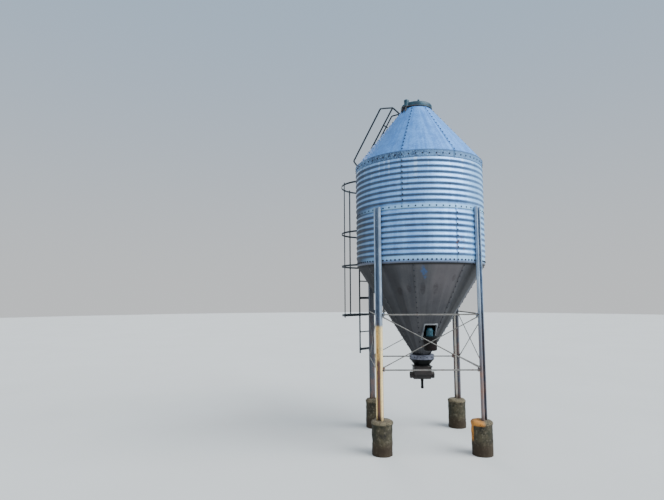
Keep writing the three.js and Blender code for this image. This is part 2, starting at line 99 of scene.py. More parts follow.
cameraData = bpy.data.cameras.new("view")
cameraData.lens = cameraValues["lens"]
cameraData.sensor_width = 36
cameraData.sensor_fit = "HORIZONTAL"
camera = bpy.data.objects.new("view", cameraData)
bpy.context.scene.collection.objects.link(camera)
stand = Vector(cameraValues["fromAxis"]) + Vector((axis.x, axis.y, 0))
camera.matrix_world = (
    Matrix.Translation(stand)
    @ Matrix.Rotation(math.radians(cameraValues["turn"]), 4, "Z")
    @ Matrix.Rotation(math.radians(90 + cameraValues["lookUp"]), 4, "X")
    @ Matrix.Rotation(math.radians(cameraValues["roll"]), 4, "Z")
)
bpy.context.scene.camera = camera

lampValues = {
    "aim": 3,
    "far": 9,
    # azimuth, height, strength, spread, colour
    "lamps": {
        "keyLight": (64, 40, 4.9, 50, (0.88, 0.95, 1)),
        "frontLight": (10, 50, 0.7, 70, (0.88, 0.95, 1)),
        "rimLight": (-168, 24, 0.5, 20, (1, 0.98, 0.95)),
    },
}


def softLight(name, azimuth, height, strength, spread, colour):
    # a broad, even light from one direction
    data = bpy.data.lights.new(name, "SUN")
    data.angle = math.radians(spread)
    data.energy = strength
    data.color = colour
    lamp = bpy.data.objects.new(name, data)
    bpy.context.scene.collection.objects.link(lamp)
    aim, far, tilt = Vector((axis.x, axis.y, lampValues["aim"])), lampValues["far"], math.radians(height)
    lamp.rotation_mode = "QUATERNION"
    lamp.location = spot(azimuth, 0, far * math.cos(tilt), aim.z + far * math.sin(tilt))
    lamp.rotation_quaternion = (aim - lamp.location).to_track_quat("-Z", "Y")


for name, values in lampValues["lamps"].items():
    softLight(name, *values)


# Shader maths. A Wire is one output socket, and Python's operators add its Math nodes.

class Wire:
    def __init__(self, tree, socket=None):
        self.tree = tree
        self.socket = socket

    def node(self, kind, settings=None, inputs=None, output=0):
        made = self.tree.nodes.new(kind)
        for name, value in (settings or {}).items():
            setattr(made, name, value)
        for name, value in (inputs or {}).items():
            if isinstance(value, Wire):
                self.tree.links.new(value.socket, made.inputs[name])
            else:
                made.inputs[name].default_value = value
        return Wire(self.tree, made.outputs[output] if made.outputs else None)

    def maths(self, operation, first, second=0.0):
        return self.node("ShaderNodeMath", {"operation": operation}, {0: first, 1: second})

    def __add__(self, other):
        return self.maths("ADD", self, other)

    def __sub__(self, other):
        return self.maths("SUBTRACT", self, other)

    def __rsub__(self, other):
        return self.maths("SUBTRACT", other, self)

    def __mul__(self, other):
        return self.maths("MULTIPLY", self, other)

    def __truediv__(self, other):
        return self.maths("DIVIDE", self, other)

    __radd__ = __add__
    __rmul__ = __mul__


def place(wire):
    return wire.node("ShaderNodeTexCoord", output="Object")


def vector(operation, first, second=(0, 0, 0), output=0):
    return first.node("ShaderNodeVectorMath", {"operation": operation}, {0: first, 1: second}, output)


def part(wire, which):
    return wire.node("ShaderNodeSeparateXYZ", None, {0: wire}, which)


def span(value, low, high):
    # 0 at low, 1 at high, and eased between them
    settings = {"interpolation_type": "SMOOTHSTEP"}
    return value.node("ShaderNodeMapRange", settings, {"Value": value, "From Min": low, "From Max": high})


def fade(value, low, high):
    # 1 at low, 0 at high
    return 1 - span(value, low, high)


def between(value, start, full, last, end):
    # up from start to full, and down again from last to end
    return span(value, start, full) * fade(value, last, end)


def grain(where, scale, detail=3.0, rough=0.55):
    inputs = {"Vector": where, "Scale": scale, "Detail": detail, "Roughness": rough}
    return where.node("ShaderNodeTexNoise", None, inputs)


def cells(where, scale):
    # one even grey for each cell
    return part(where.node("ShaderNodeTexVoronoi", None, {"Vector": where, "Scale": scale}, "Color"), 0)


def hexColour(code):
    # an sRGB hex colour, as typed in Blender's colour field, made linear
    def linear(value):
        return value / 12.92 if value <= 0.04045 else ((value + 0.055) / 1.055) ** 2.4
    return tuple(linear(int(code[i:i + 2], 16) / 255) for i in (0, 2, 4)) + (1.0,)


def tint(factor, first, second, mode="MIX"):
    # each colour is a socket or a hex code
    first, second = (hexColour(colour) if isinstance(colour, str) else colour for colour in (first, second))
    settings = {"data_type": "RGBA", "blend_type": mode}
    return factor.node("ShaderNodeMix", settings, {0: factor, 6: first, 7: second}, 2)


def coats(base, layers):
    # each layer is a mask and the colour that it lays over the ones before
    for mask, colour in layers:
        base = tint(mask, base, colour)
    return base


def fromAxis(wire):
    return vector("SUBTRACT", place(wire), (axis.x, axis.y, 0))


def upright(where, across, along):
    # a pattern's place, scaled differently across and up
    return vector("MULTIPLY", where, (across, across, along))


def downSlope(wire, across, along):
    # the same for a cone: the pattern runs straight down its slope
    out = vector("NORMALIZE", vector("MULTIPLY", fromAxis(wire), (1, 1, 0)))
    return vector("ADD", upright(out, across, 0), upright(place(wire), 0, along))


def azimuthOf(wire):
    where = fromAxis(wire)
    turn = wire.maths("ARCTAN2", part(where, 0), part(where, 1) * -1)
    return turn * (180 / math.pi)


def riseOf(wire):
    return part(place(wire), 2) - wallBottom


def facingUp(wire):
    return part(wire.node("ShaderNodeNewGeometry", output="Normal"), 2)


def patch(turn, rise, azimuth, height, halfTurn, halfHeight):
    # a soft oval at an azimuth and a rise: 1 in its middle, 0 outside
    u = (turn - azimuth) / halfTurn
    v = (rise - height) / halfHeight
    return fade(u * u + v * v, 0.25, 1.1)


def material(name, recipe):
    made = bpy.data.materials.new(name)
    made.use_nodes = True
    made.node_tree.nodes.clear()
    start = Wire(made.node_tree)
    values = recipe(start)
    bump = values.pop("bump", None)
    if bump:
        inputs = {"Height": bump[0], "Strength": bump[1], "Distance": bump[2]}
        values["Normal"] = start.node("ShaderNodeBump", None, inputs)
    shader = start.node("ShaderNodeBsdfPrincipled", None, values)
    start.node("ShaderNodeOutputMaterial", None, {"Surface": shader})
    return made


# Zinc-coated sheet of the wall: spangle, upright streaks, painted shade on the undersides of the corrugations

wallPaint = {
    "light": "84bcfc",
    "dull": "5b8fd0",
    "underShadeColour": "0e1f33",
    "upHighlightColour": "b4daff",
    "litSideColour": "a4dcff",
    "stain": "cfe8ff",
    "sideShadeColour": "16283f",
    "flat": "a6daff",
    "foot": "666874",
    "rust": "7a4a2c",
    "metal": 0.4,
    "roughness": 0.4,
}


def wallRecipe(wire):
    v = wallPaint
    turn, rise = azimuthOf(wire), riseOf(wire)
    streaks = grain(upright(fromAxis(wire), 9, 0.9), 1.0, 4.0)
    cloud = grain(place(wire), 2.2, 4.0)
    spangle = cells(place(wire), 75)
    tone = span(streaks * 0.5 + cloud * 0.4 + spangle * 0.1, 0.36, 0.64)
    # painted shade on the side away from the light
    shady = between(turn * -1, 26, 82, 120, 170)
    paintedSideShade = shady * (1 - 0.3 * span(rise, 0.7, 1.1)) * (0.8 + 0.5 * cloud)
    facing = facingUp(wire)
    # painted shade on the downward-facing slopes of the corrugations, wider on the shaded side
    under = span(shady * 0.10 - facing, -0.06, 0.28) * (0.8 + 0.3 * grain(place(wire), 6.0))
    # painted light on the side that faces the light
    paintedLitSide = between(turn, 15, 75, 95, 125) * (1 - under)
    # pale runs under the eave, and rust bleeding at the lower sheets' front seam
    runs = span(grain(upright(fromAxis(wire), 16, 0.7), 1.0, 2.0), 0.54, 0.66)
    runs = runs * span(rise, 1.1, 1.6) * (1 - under)
    bleed = patch(turn, rise, 25, 0.26, 6, 0.16) * span(grain(place(wire), 22, 4.0), 0.5, 0.66)
    # the flat bands at the lap and the foot are made lighter than the corrugations, but not on the shaded
    # side
    flat = between(rise, 0.81, 0.83, 0.87, 0.90) + between(rise, 0.03, 0.06, 0.09, 0.12)
    foot = fade(rise, 0.02, 0.075) * (0.6 + 0.6 * grain(place(wire), 14))
    base = coats(tint(tone, v["dull"], v["light"]), [
        (paintedSideShade, v["sideShadeColour"]),
        # painted highlight on the upward-facing slopes
        (span(facing, 0.05, 0.3) * 0.3, v["upHighlightColour"]),
        (under * (0.92 - 0.22 * span(turn, 0, 60)), v["underShadeColour"]),
        (paintedLitSide * 0.7, v["litSideColour"]),
        (runs * 0.5, v["stain"]),
        (bleed * 0.6, v["rust"]),
        (flat * (1 - shady) * 0.55, v["flat"]),
        (foot * 0.7, v["foot"]),
    ])
    return {
        "Base Color": base,
        "Roughness": v["roughness"] + 0.12 * spangle - 0.1 * tone + 0.2 * shady,
        "Metallic": v["metal"] * (1 - under) * (1 - 0.7 * shady) * (1 - bleed),
        "bump": (cloud + 0.25 * spangle, 0.2, 0.004),
    }


wallSteel = material("wallSteel", wallRecipe)

# Roof sheet: the band that is turned down over the wall's top is darker and blotched

roofPaint = {
    "light": "66a3e8",
    "dull": "457dc0",
    "cool": "4c78b8",
    "shade": "35568a",
    "band": "2e4566",
    "bandLight": "5f86b0",
    "fleck": "a8cdf0",
    "rust": "5d5262",
    "edge": "33445f",
    "metal": 0.3,
    "roughness": 0.5,
}


def roofRecipe(wire):
    v = roofPaint
    turn, rise = azimuthOf(wire), riseOf(wire)
    streaks = grain(downSlope(wire, 15, 0.9), 1.0, 3.0)
    cloud = grain(place(wire), 4.5, 5.0, 0.65)
    patches = span(grain(place(wire), 15.0, 4.0, 0.6), 0.5, 0.66)
    spangle = cells(place(wire), 80)
    tone = span(streaks * 0.5 + cloud * 0.35 + spangle * 0.15, 0.38, 0.62)
    # darker down the slope on the side away from the light
    shady = between(turn * -1, -5, 50, 120, 170) * (0.1 + 0.9 * span(streaks, 0.42, 0.6))
    band = fade(rise, 1.694, 1.704)
    # painted shadow in a thin line along the fold at the eave
    edge = between(rise, 1.69, 1.70, 1.706, 1.722)
    blotch = grain(place(wire), 44, 5.0, 0.7)
    # the band's blotches, with painted light growing towards the lit right side
    blotchAndSideLight = blotch * 0.7 + grain(place(wire), 5, 2.0) * 0.3 + 0.02 + 0.16 * span(turn, -30, 60)
    bandTone = coats(tint(span(blotchAndSideLight, 0.44, 0.6), v["band"], v["bandLight"]), [
        (span(grain(place(wire), 60, 3.0), 0.58, 0.7) * 0.7, v["fleck"]),
        (span(grain(place(wire), 9, 3.0), 0.6, 0.72) * 0.5, v["rust"]),
    ])
    base = coats(tint(tone, v["dull"], v["light"]), [
        (patches * 0.5, v["cool"]),
        (shady * 0.34, v["shade"]),
        (band, bandTone),
        (edge * 0.6, v["edge"]),
    ])
    return {
        "Base Color": base,
        "Roughness": v["roughness"] + 0.12 * spangle + 0.1 * band,
        "Metallic": v["metal"] - 0.15 * band,
        "bump": (cloud + 0.3 * blotch, 0.2, 0.003),
    }


roofSteel = material("roofSteel", roofRecipe)

# Hopper sheet: dull and dark, with streaks down its slope and a worn smear of blue paint

hopperPaint = {
    "light": "525154",
    "dull": "34353b",
    "dark": "131317",
    "blotch": "1e171c",
    "pink": "645e60",
    "edge": "444a54",
    "mark": "185088",
    "rim": "060507",
    "metal": 0.3,
    "roughness": 0.5,
    # long bands down the slope: azimuth, half width in degrees, colour, strength
    "stripes": [
        (-36, 7, "dark", 0.7),
        (-60, 14, "dark", 0.85),
        (-84, 14, "dark", 0.8),
        (48, 13, "dark", 1.0),
        # the lighter band at 66 degrees is a painted highlight
        (66, 7, "edge", 0.5),
    ],
    # dark stains: azimuth, rise, half width in degrees, half height
    "stains": [
        (6.5, -0.38, 3.4, 0.10),
        (-7, -0.38, 3.2, 0.11),
        (-21.5, -0.37, 3.2, 0.09),
        (-33, -0.42, 3.6, 0.08),
        (24, -0.22, 2.2, 0.06),
        (100, -0.4, 4, 0.1),
        (131, -0.3, 4, 0.12),
        (178, -0.45, 5, 0.1),
        (-120, -0.35, 4, 0.1),
    ],
}


def hopperRecipe(wire):
    v = hopperPaint
    turn, rise = azimuthOf(wire), riseOf(wire)
    down = rise * -1
    streaks = grain(downSlope(wire, 13, 1.1), 1.0, 5.0, 0.6)
    bands = grain(downSlope(wire, 4.5, 0.25), 1.0, 2.0)
    cloud = grain(place(wire), 4.0, 5.0, 0.6)
    fine = grain(place(wire), 26.0, 4.0, 0.65)
    tone = span(streaks * 0.35 + cloud * 0.35 + bands * 0.3, 0.34, 0.66)
    warm = between(turn, -4, 6, 24, 34) * fade(down, 0.2, 0.8)
    layers = [(span(down, 0.5, 1.4) * 0.4, v["dull"]), (warm * 0.5, v["pink"])]
    for azimuth, half, colour, share in v["stripes"]:
        off = (turn - azimuth) / half
        layers.append((fade(off * off, 0.0, 1.6) * share * (0.6 + 0.4 * cloud), v[colour]))
    # painted shade on the side away from the light
    away = between(turn * -1, 52, 78, 130, 170)
    layers.append((away * 0.8, v["dark"]))
    ragged = span(fine * 0.5 + cloud * 0.5, 0.34, 0.6)
    layers += [(patch(turn, rise, *stain) * ragged * 0.6, v["blotch"]) for stain in v["stains"]]
    # the smear leans, and noise breaks up its outline
    wander = grain(place(wire), 17.0, 5.0, 0.7) - 0.5
    u = (turn + 6.4 + (rise + 0.13) * 14) / 3.0 + wander * 2.4
    w = (rise + 0.13) / 0.12 - wander * 2.0
    mark = fade(u * u + w * w, 0.0, 1.1) * span(fine, 0.3, 0.6)
    layers += [
        (span(fine, 0.62, 0.76) * 0.35, v["dark"]),
        (mark * 0.75, v["mark"]),
        # painted shadow just under the wall's lower edge
        (fade(down, 0.008, 0.045), v["rim"]),
    ]
    return {
        "Base Color": coats(tint(tone, v["dull"], v["light"]), layers),
        "Roughness": v["roughness"] + 0.18 * fine + 0.25 * away,
        "Metallic": v["metal"] - 0.3 * wire.maths("MAXIMUM", mark, away),
        "bump": (cloud + 0.3 * fine, 0.25, 0.004),
    }


hopperSteel = material("hopperSteel", hopperRecipe)

# Legs: pale lips, a web with painted shade that rusts first, and painted warm sunlight on the lower end of
# the left front leg

legPaint = {
    "light": "b4c8dd",
    "dull": "7c90a8",
    "web": "4b607d",
    "grey": "77777d",
    "back": "34343a",
    "pale": "d8d2c6",
    "sunlitCream": "ffdf94",
    "rust": "97694c",
    "soil": "4a3426",
    "worn": "5c5d66",
    "metal": 0.35,
    "roughness": 0.5,
}


def legRecipe(wire):
    v = legPaint
    where, turn = place(wire), azimuthOf(wire)
    z = part(where, 2)
    long = grain(upright(where, 30, 1.2), 1.0, 4.0)
    cloud = grain(where, 7.0, 4.0)
    fine = grain(where, 45.0, 4.0)
    mixed = cloud * 0.5 + fine * 0.5
    # the web lies back in the channel
    away = vector("LENGTH", vector("MULTIPLY", fromAxis(wire), (1, 1, 0)), output=1)
    web = fade(away, 1.074, 1.084)
    # the back pair is darker, with one pale strip down the right one's inner side
    back = span(turn * turn, 120 * 120, 125 * 125)
    strip = between(turn, 134.0, 134.4, 136.0, 136.4) * fade(away, 1.0685, 1.0705)
    # painted warm sunlight falls on the lower part of the left front leg
    left = between(turn, -60, -56, -34, -30)
    right = between(turn, 38, 40, 43, 44) * (1 - web)
    low = fade(z, 1.32, 1.40)
    pale = left * fade(z, 1.85, 1.90) * (1 - web * low)
    worn = between(turn, 30, 34, 56, 60) * fade(z, 1.7, 2.4)
    # painted shadow in a thin strip on the web beside the right flange of the left front leg
    flangeShadow = left * web * span(turn, -43.7, -43.2) * fade(z, 1.85, 1.95)
    rusty = right * fade(z, 1.1, 1.6) * 0.4 + left * web * low * (0.5 + 0.5 * fine)
    rusty = rusty + fade(z, 1.3, 2.3) * span(cloud * 0.6 + fine * 0.4, 0.45, 0.6) * (0.35 + 0.65 * web)
    rusty = wire.maths("MINIMUM", rusty, 1.0) * (1 - 0.6 * back)
    foot = fade(z, pierTop, pierTop + 0.10)
    base = coats(tint(span(long * 0.6 + cloud * 0.4, 0.36, 0.64), v["dull"], v["light"]), [
        (fade(z, 1.2, 2.8) * 0.8, v["grey"]),
        # painted shade on the web, down in the channel
        (web * 0.7, v["web"]),
        (back * (0.7 + 0.3 * cloud), v["back"]),
        (strip * span(mixed, 0.3, 0.45) * 0.9, v["pale"]),
        (worn * (0.45 + 0.3 * cloud), v["worn"]),
        (flangeShadow * 0.5, v["soil"]),
        (pale * span(mixed, 0.26, 0.46) * 0.88, v["sunlitCream"]),
        (rusty * 0.75, v["rust"]),
        (foot * (0.4 + 0.5 * fine), v["soil"]),
    ])
    return {
        "Base Color": base,
        "Roughness": v["roughness"] + 0.25 * rusty,
        "Metallic": v["metal"] * (1 - rusty * 0.8) * (1 - foot) * (1 - 0.8 * pale) * (1 - 0.8 * back),
        "bump": (fine, 0.15, 0.002),
    }


legSteel = material("legSteel", legRecipe)


def plainSteel(name, light, dull, rust, metal, rough, rustAmount):
    # weathered bar steel with rust in patches
    def recipe(wire):
        cloud = grain(place(wire), 11.0, 4.0)
        fine = grain(place(wire), 60.0, 4.0)
        base = tint(span(cloud * 0.6 + fine * 0.4, 0.36, 0.64), dull, light)
        rusty = span(cloud * 0.5 + fine * 0.5, 0.66 - rustAmount, 0.78 - rustAmount)
        return {
            "Base Color": tint(rusty, base, rust),
            "Roughness": rough + 0.3 * rusty,
            "Metallic": metal * (1 - 0.8 * rusty),
            "bump": (fine + rusty * 0.5, 0.2, 0.001),
        }
    return material(name, recipe)


braceSteel = plainSteel("braceSteel", "85837f", "5a5855", "4f3629", 0.4, 0.5, 0.14)
darkSteel = plainSteel("darkSteel", "27333c", "151d24", "30241e", 0.3, 0.55, 0.08)
# the bolts are near black, which also stands in for the small shadows round them
boltSteel = plainSteel("boltSteel", "1a212d", "0b0f15", "2c1f18", 0.25, 0.55, 0.1)
hingeSteel = plainSteel("hingeSteel", "39434a", "20272b", "5a3826", 0.4, 0.55, 0.16)
bandSteel = plainSteel("bandSteel", "787a88", "3e4150", "3a2b28", 0.4, 0.45, 0.10)


def oldPaint(name, light, dull, chip, rough, chips, dirt, shine=0.4):
    # faded in clouds, chipped to the metal, with dust on what faces up
    def recipe(wire):
        cloud = grain(place(wire), 6.0, 5.0, 0.6)
        fine = grain(place(wire), 48.0, 4.0, 0.65)
        chipped = span(fine * 0.6 + cloud * 0.4, 0.7 - chips, 0.74 - chips)
        dusty = span(facingUp(wire), 0.3, 0.95) * dirt * span(cloud * 0.5 + fine * 0.5, 0.35, 0.6)
        faded = tint(span(cloud, 0.34, 0.66), dull, light)
        return {
            "Base Color": coats(faded, [(chipped * 0.85, chip), (dusty, "8e8a80")]),
            "Roughness": rough + 0.25 * chipped,
            "Metallic": 0.25 * chipped,
            "Specular IOR Level": shine,
            "bump": (fine * 0.5 + cloud * 0.5 - chipped * 0.6, 0.2, 0.0015),
        }
    return material(name, recipe)


bootPaint = oldPaint("bootPaint", "050709", "020304", "120f0d", 0.45, 0.06, 0.15, 0.1)
boxPaint = oldPaint("boxPaint", "2c2524", "171414", "3b2921", 0.55, 0.08, 0.5)
potPaint = oldPaint("potPaint", "150d0f", "0b080a", "2a1512", 0.6, 0.1, 0.05, 0.15)
potRimPaint = oldPaint("potRimPaint", "081014", "04080a", "14100f", 0.45, 0.05, 0.0, 0.15)
capPaint = oldPaint("capPaint", "1f4f5e", "143845", "14262c", 0.4, 0.04, 0.1)
windowPaint = oldPaint("windowPaint", "8f9296", "5f646b", "40362e", 0.45, 0.1, 0.2)
gripPaint = oldPaint("gripPaint", "0b0b0d", "050506", "1c1512", 0.5, 0.04, 0.1, 0.15)
sealAndShadowRubber = oldPaint("sealAndShadowRubber", "0d0f12", "07080a", "1c1a18", 0.65, 0.02, 0.2)

lidPaint = {
    "light": "204d5f",
    "dull": "0f303f",
    "edge": "3a4a52",
    "rust": "54302a",
    "chip": "1f2d33",
    "metal": 0.15,
    "roughness": 0.4,
}


def lidRecipe(wire):
    v = lidPaint
    where = place(wire)
    cloud = grain(where, 9.0, 5.0, 0.6)
    fine = grain(where, 52.0, 4.0, 0.65)
    low = fade(part(where, 2) + 0.012 * fine, lidBottom + 0.022, lidBottom + 0.036)
    rusty = low * patch(azimuthOf(wire), riseOf(wire), -30, 2.72, 30, 0.05) * span(fine, 0.42, 0.56)
    chipped = span(fine * 0.6 + cloud * 0.4, 0.6, 0.64)
    base = coats(tint(span(cloud, 0.34, 0.66), v["dull"], v["light"]), [
        (low * 0.75, v["edge"]),
        (rusty * 0.9, v["rust"]),
        (chipped * 0.6, v["chip"]),
    ])
    return {
        "Base Color": base,
        "Roughness": v["roughness"] + 0.2 * rusty + 0.1 * fine,
        "Metallic": v["metal"],
        "bump": (fine * 0.4 + cloud * 0.6, 0.25, 0.003),
    }


lidFinish = material("lidFinish", lidRecipe)

pierPaint = {
    "light": "46402f",
    "dull": "1e1b14",
    "stone": "8a826f",
    "moss": "161b0d",
    "soil": "2a1c0d",
    "stain": "4a3526",
    "crown": "94866c",
    "warm": "c88434",
    "roughness": 0.93,
}
pierMiddle = middle("pier_front_right")
pierAcross = Vector((pierMiddle.x - axis.x, pierMiddle.y - axis.y)).length * math.sqrt(0.5)


def pierRecipe(wire):
    v = pierPaint
    where = place(wire)
    z = part(where, 2)
    cloud = grain(where, 8.0, 5.0, 0.65)
    grit = grain(where, 70.0, 4.0, 0.7)
    stones = cells(where, 45)
    mossy = span(grain(where, 5.0, 5.0), 0.48, 0.62) * span(z, 0.12, 0.4)
    soil = fade(z + 0.08 * cloud, 0.14, 0.3)
    stain = span(z, 0.44, 0.5) * span(grain(where, 12.0, 3.0), 0.46, 0.6)
    mixed = cloud * 0.4 + grit * 0.6
    crown = span(z + 0.03 * grit, 0.45, 0.48) * span(mixed, 0.4, 0.55)
    # painted warm sunlight falls on the front right pier at the left of its crown and along its left edge
    across = part(fromAxis(wire), 0) - pierAcross
    crownSunPatch = fade(across, -0.05, 0.03) * span(z, 0.42, 0.45)
    edgeSunPatch = fade(across, -0.146, -0.134) * span(z + 0.1 * cloud, 0.24, 0.30)
    warm = wire.maths("MAXIMUM", crownSunPatch, edgeSunPatch) * span(across, -0.22, -0.2)
    front = span(part(fromAxis(wire), 1) * -1, 0.3, 0.4)
    base = coats(tint(span(cloud * 0.6 + grit * 0.4, 0.36, 0.62), v["dull"], v["light"]), [
        (span(stones, 0.8, 0.95) * 0.22, v["stone"]),
        (mossy * 0.75, v["moss"]),
        (soil * 0.75, v["soil"]),
        (stain * 0.6, v["stain"]),
        (crown * 0.5, v["crown"]),
        (warm * front * span(mixed, 0.36, 0.54) * 0.9, v["warm"]),
    ])
    return {
        "Base Color": base,
        "Roughness": v["roughness"],
        "bump": (grit * 0.6 + cloud * 0.6 + stones * 0.2, 0.5, 0.006),
    }


pierConcrete = material("pierConcrete", pierRecipe)


def floorRecipe(wire):
    return {
        "Base Color": tint(grain(place(wire), 0.4, 3.0), "c9c8c4", "d3d2cf"),
        "Roughness": 0.85,
    }


floorPaint = material("floorPaint", floorRecipe)
print("materials made")


# Mesh helpers. A shape is a list of points and a list of faces.

def arc(x, y, wide, start, stop, steps=4, tall=None):
    # part of a circle round (x, y), or of an oval if it has a height of its own
    tall = wide if tall is None else tall
    turns = [math.radians(start + (stop - start) * i / steps) for i in range(steps + 1)]
    return [(x + wide * math.cos(a), y + tall * math.sin(a)) for a in turns]


def raised(outline, base):
    # (radius, height) pairs whose heights were counted from base
    return [(radius, base + height) for radius, height in outline]


def turned(outline, start=0.0, stop=360.0, steps=64, centre=None, ring=False, bulge=None):
    # turns (radius, height) pairs about an upright line; ring closes the outline on itself
    whole = stop - start >= 360
    columns = steps if whole else steps + 1
    count = len(outline)
    centre = centre or axis
    points, faces = [], []
    for i in range(columns):
        azimuth = start + (stop - start) * i / steps
        a = math.radians(azimuth)
        for radius, z in outline:
            r = bulge(azimuth, radius, z) if bulge else radius
            points.append((centre.x + r * math.sin(a), centre.y - r * math.cos(a), z))
    rows = count if ring else count - 1
    for i in range(steps):
        here, after = i * count, ((i + 1) % columns) * count
        for j in range(rows):
            k = (j + 1) % count
            faces.append((here + j, after + j, after + k, here + k))
    if ring and not whole:
        faces.append(tuple(range(count)))
        faces.append(tuple(reversed(range(steps * count, steps * count + count))))
    return points, faces


def tube(path, radius, sides=12, closed=False):
    count = len(path)
    points, faces = [], []
    side = None
    for i, here in enumerate(path):
        before = path[i - 1] if closed or i else here
        after = path[(i + 1) % count] if closed or i + 1 < count else here
        along = (after - before).normalized()
        side = along.orthogonal() if side is None else side - along * side.dot(along)
        side.normalize()
        other = along.cross(side)
        for k in range(sides):
            a = 2 * math.pi * k / sides
            points.append(here + radius * (math.cos(a) * side + math.sin(a) * other))
    for i in range(count if closed else count - 1):
        for k in range(sides):
            a, b = i * sides + k, i * sides + (k + 1) % sides
            shift = ((i + 1) % count - i) * sides
            faces.append((a, b, b + shift, a + shift))
    if not closed:
        faces.append(tuple(reversed(range(sides))))
        faces.append(tuple(range((count - 1) * sides, count * sides)))
    return points, faces


def rounded(path, radius, steps=6):
    # the same path with its corners turned into arcs
    made = [path[0]]
    for before, corner, after in zip(path, path[1:], path[2:]):
        a, b = (before - corner), (after - corner)
        half = a.angle(b) / 2
        cut = min(radius / math.tan(half), a.length * 0.45, b.length * 0.45)
        start, end = corner + a.normalized() * cut, corner + b.normalized() * cut
        for i in range(steps + 1):
            t = i / steps
            made.append(start * (1 - t) ** 2 + corner * 2 * t * (1 - t) + end * t ** 2)
    return made + [path[-1]]


def prism(outline, origin, right, up, depth):
    # an outline in the plane of right and up, pushed from origin along depth
    ahead = right.cross(up)
    if ahead.dot(depth) < 0:
        outline = [(-x, y) for x, y in reversed(outline)]
        right = -right
    base = [origin + right * x + up * y for x, y in outline]
    count = len(base)
    points = base + [p + depth for p in base]
    faces = [tuple(reversed(range(count))), tuple(range(count, 2 * count))]
    for i in range(count):
        j = (i + 1) % count
        faces.append((i, j, j + count, i + count))
    return points, faces


def box(centre, right, up, ahead, size):
    w, h, d = size[0] / 2, size[1] / 2, size[2]
    return prism([(-w, -h), (w, -h), (w, h), (-w, h)], centre - ahead * (d / 2), right, up, ahead * d)


def stadium(halfLength, halfWidth, steps=6):
    # a bar's outline with round ends
    points = []
    for end in (1, -1):
        for i in range(steps + 1):
            a = math.pi * (i / steps - 0.5)
            points.append((end * (halfLength + halfWidth * math.cos(a)), end * halfWidth * math.sin(a)))
    return points


def lathe(outline, origin, up, steps=24):
    # (radius, height) pairs turned about any line through origin along up
    up = up.normalized()
    side = up.orthogonal().normalized()
    other = up.cross(side)
    points, faces = [], []
    count = len(outline)
    for i in range(steps):
        a = 2 * math.pi * i / steps
        out = math.cos(a) * side + math.sin(a) * other
        points += [origin + out * r + up * z for r, z in outline]
    for i in range(steps):
        here, after = i * count, ((i + 1) % steps) * count
        faces += [(here + j, after + j, after + j + 1, here + j + 1) for j in range(count - 1)]
    return points, faces


def makePiece(name, shapes, paint, body="silo", replaces=(), bevel=0.0, sheet=0.0, sharp=35,
              merge=True):
    points, faces = [], []
    for shapePoints, shapeFaces in shapes:
        first = len(points)
        points += [tuple(p) for p in shapePoints]
        faces += [tuple(first + i for i in face) for face in shapeFaces]
    mesh = bpy.data.meshes.new(name)
    mesh.from_pydata(points, [], faces)
    if merge:
        work = bmesh.new()
        work.from_mesh(mesh)
        bmesh.ops.remove_doubles(work, verts=work.verts, dist=0.000005)
        work.to_mesh(mesh)
        work.free()
    mesh.materials.append(paint)
    mesh.shade_smooth()
    mesh.set_sharp_from_angle(angle=math.radians(sharp))
    made = bpy.data.objects.new(name, mesh)
    bpy.context.scene.collection.objects.link(made)
    if sheet:
        thickness = made.modifiers.new("sheet", "SOLIDIFY")
        thickness.thickness = sheet
        thickness.offset = -1
    if bevel:
        edges = made.modifiers.new("edges", "BEVEL")
        edges.width = bevel
        edges.segments = 2
        edges.limit_method = "ANGLE"
        edges.angle_limit = math.radians(40)
    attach(made, body)
    if replaces:
        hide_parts(*replaces)


boltSize = {"washer": 0.0125, "washerSheet": 0.003, "head": 0.0078, "headHeight": 0.0065}


def bolt(point, normal, scale=1.0, turn=0.0):
    v = boltSize
    up = normal.normalized()
    side = up.orthogonal().normalized()
    other = up.cross(side)
    rings = [(12, v["washer"], -0.001), (12, v["washer"] * 0.93, v["washerSheet"])]
    top = v["washerSheet"] + v["headHeight"]
    rings += [(6, v["head"], v["washerSheet"]), (6, v["head"], top - 0.001), (6, v["head"] * 0.84, top)]
    points, faces, starts = [], [], []
    for count, radius, height in rings:
        starts.append(len(points))
        for i in range(count):
            a = turn + 2 * math.pi * i / count
            out = math.cos(a) * side + math.sin(a) * other
            points.append(point + (out * radius + up * height) * scale)
    for lower, count in ((0, 12), (2, 6), (3, 6)):
        a, b = starts[lower], starts[lower + 1]
        faces += [(a + i, a + (i + 1) % count, b + (i + 1) % count, b + i) for i in range(count)]
    faces.append(tuple(starts[1] + i for i in range(12)))
    faces.append(tuple(starts[4] + i for i in range(6)))
    return points, faces


dice = random.Random(7)


def boltPiece(name, places, scale=1.0, paint=boltSteel):
    shapes = [bolt(point, normal, scale, dice.uniform(0, 1)) for point, normal in places]
    makePiece(name, shapes, paint, merge=False, sharp=30)


def boltRing(count, first, radius, z, tilt=0.0):
    turns = [first + 360 * i / count for i in range(count)]
    return [(polar(turn, radius, z), outward(turn, tilt)) for turn in turns]


def ripple(azimuth, z, size, turns=2.0, rise=1.5):
    # slow unevenness of a rolled sheet, the same at 0 and 360 degrees
    a = math.radians(azimuth)
    return size * noise.noise(Vector((turns * math.sin(a), turns * math.cos(a), rise * z)))


def ease(value, low, high):
    t = min(max((value - low) / (high - low), 0.0), 1.0)
    return t * t * (3 - 2 * t)


# Wall: two corrugated rings, each of two half-round sheets that lap at their ends

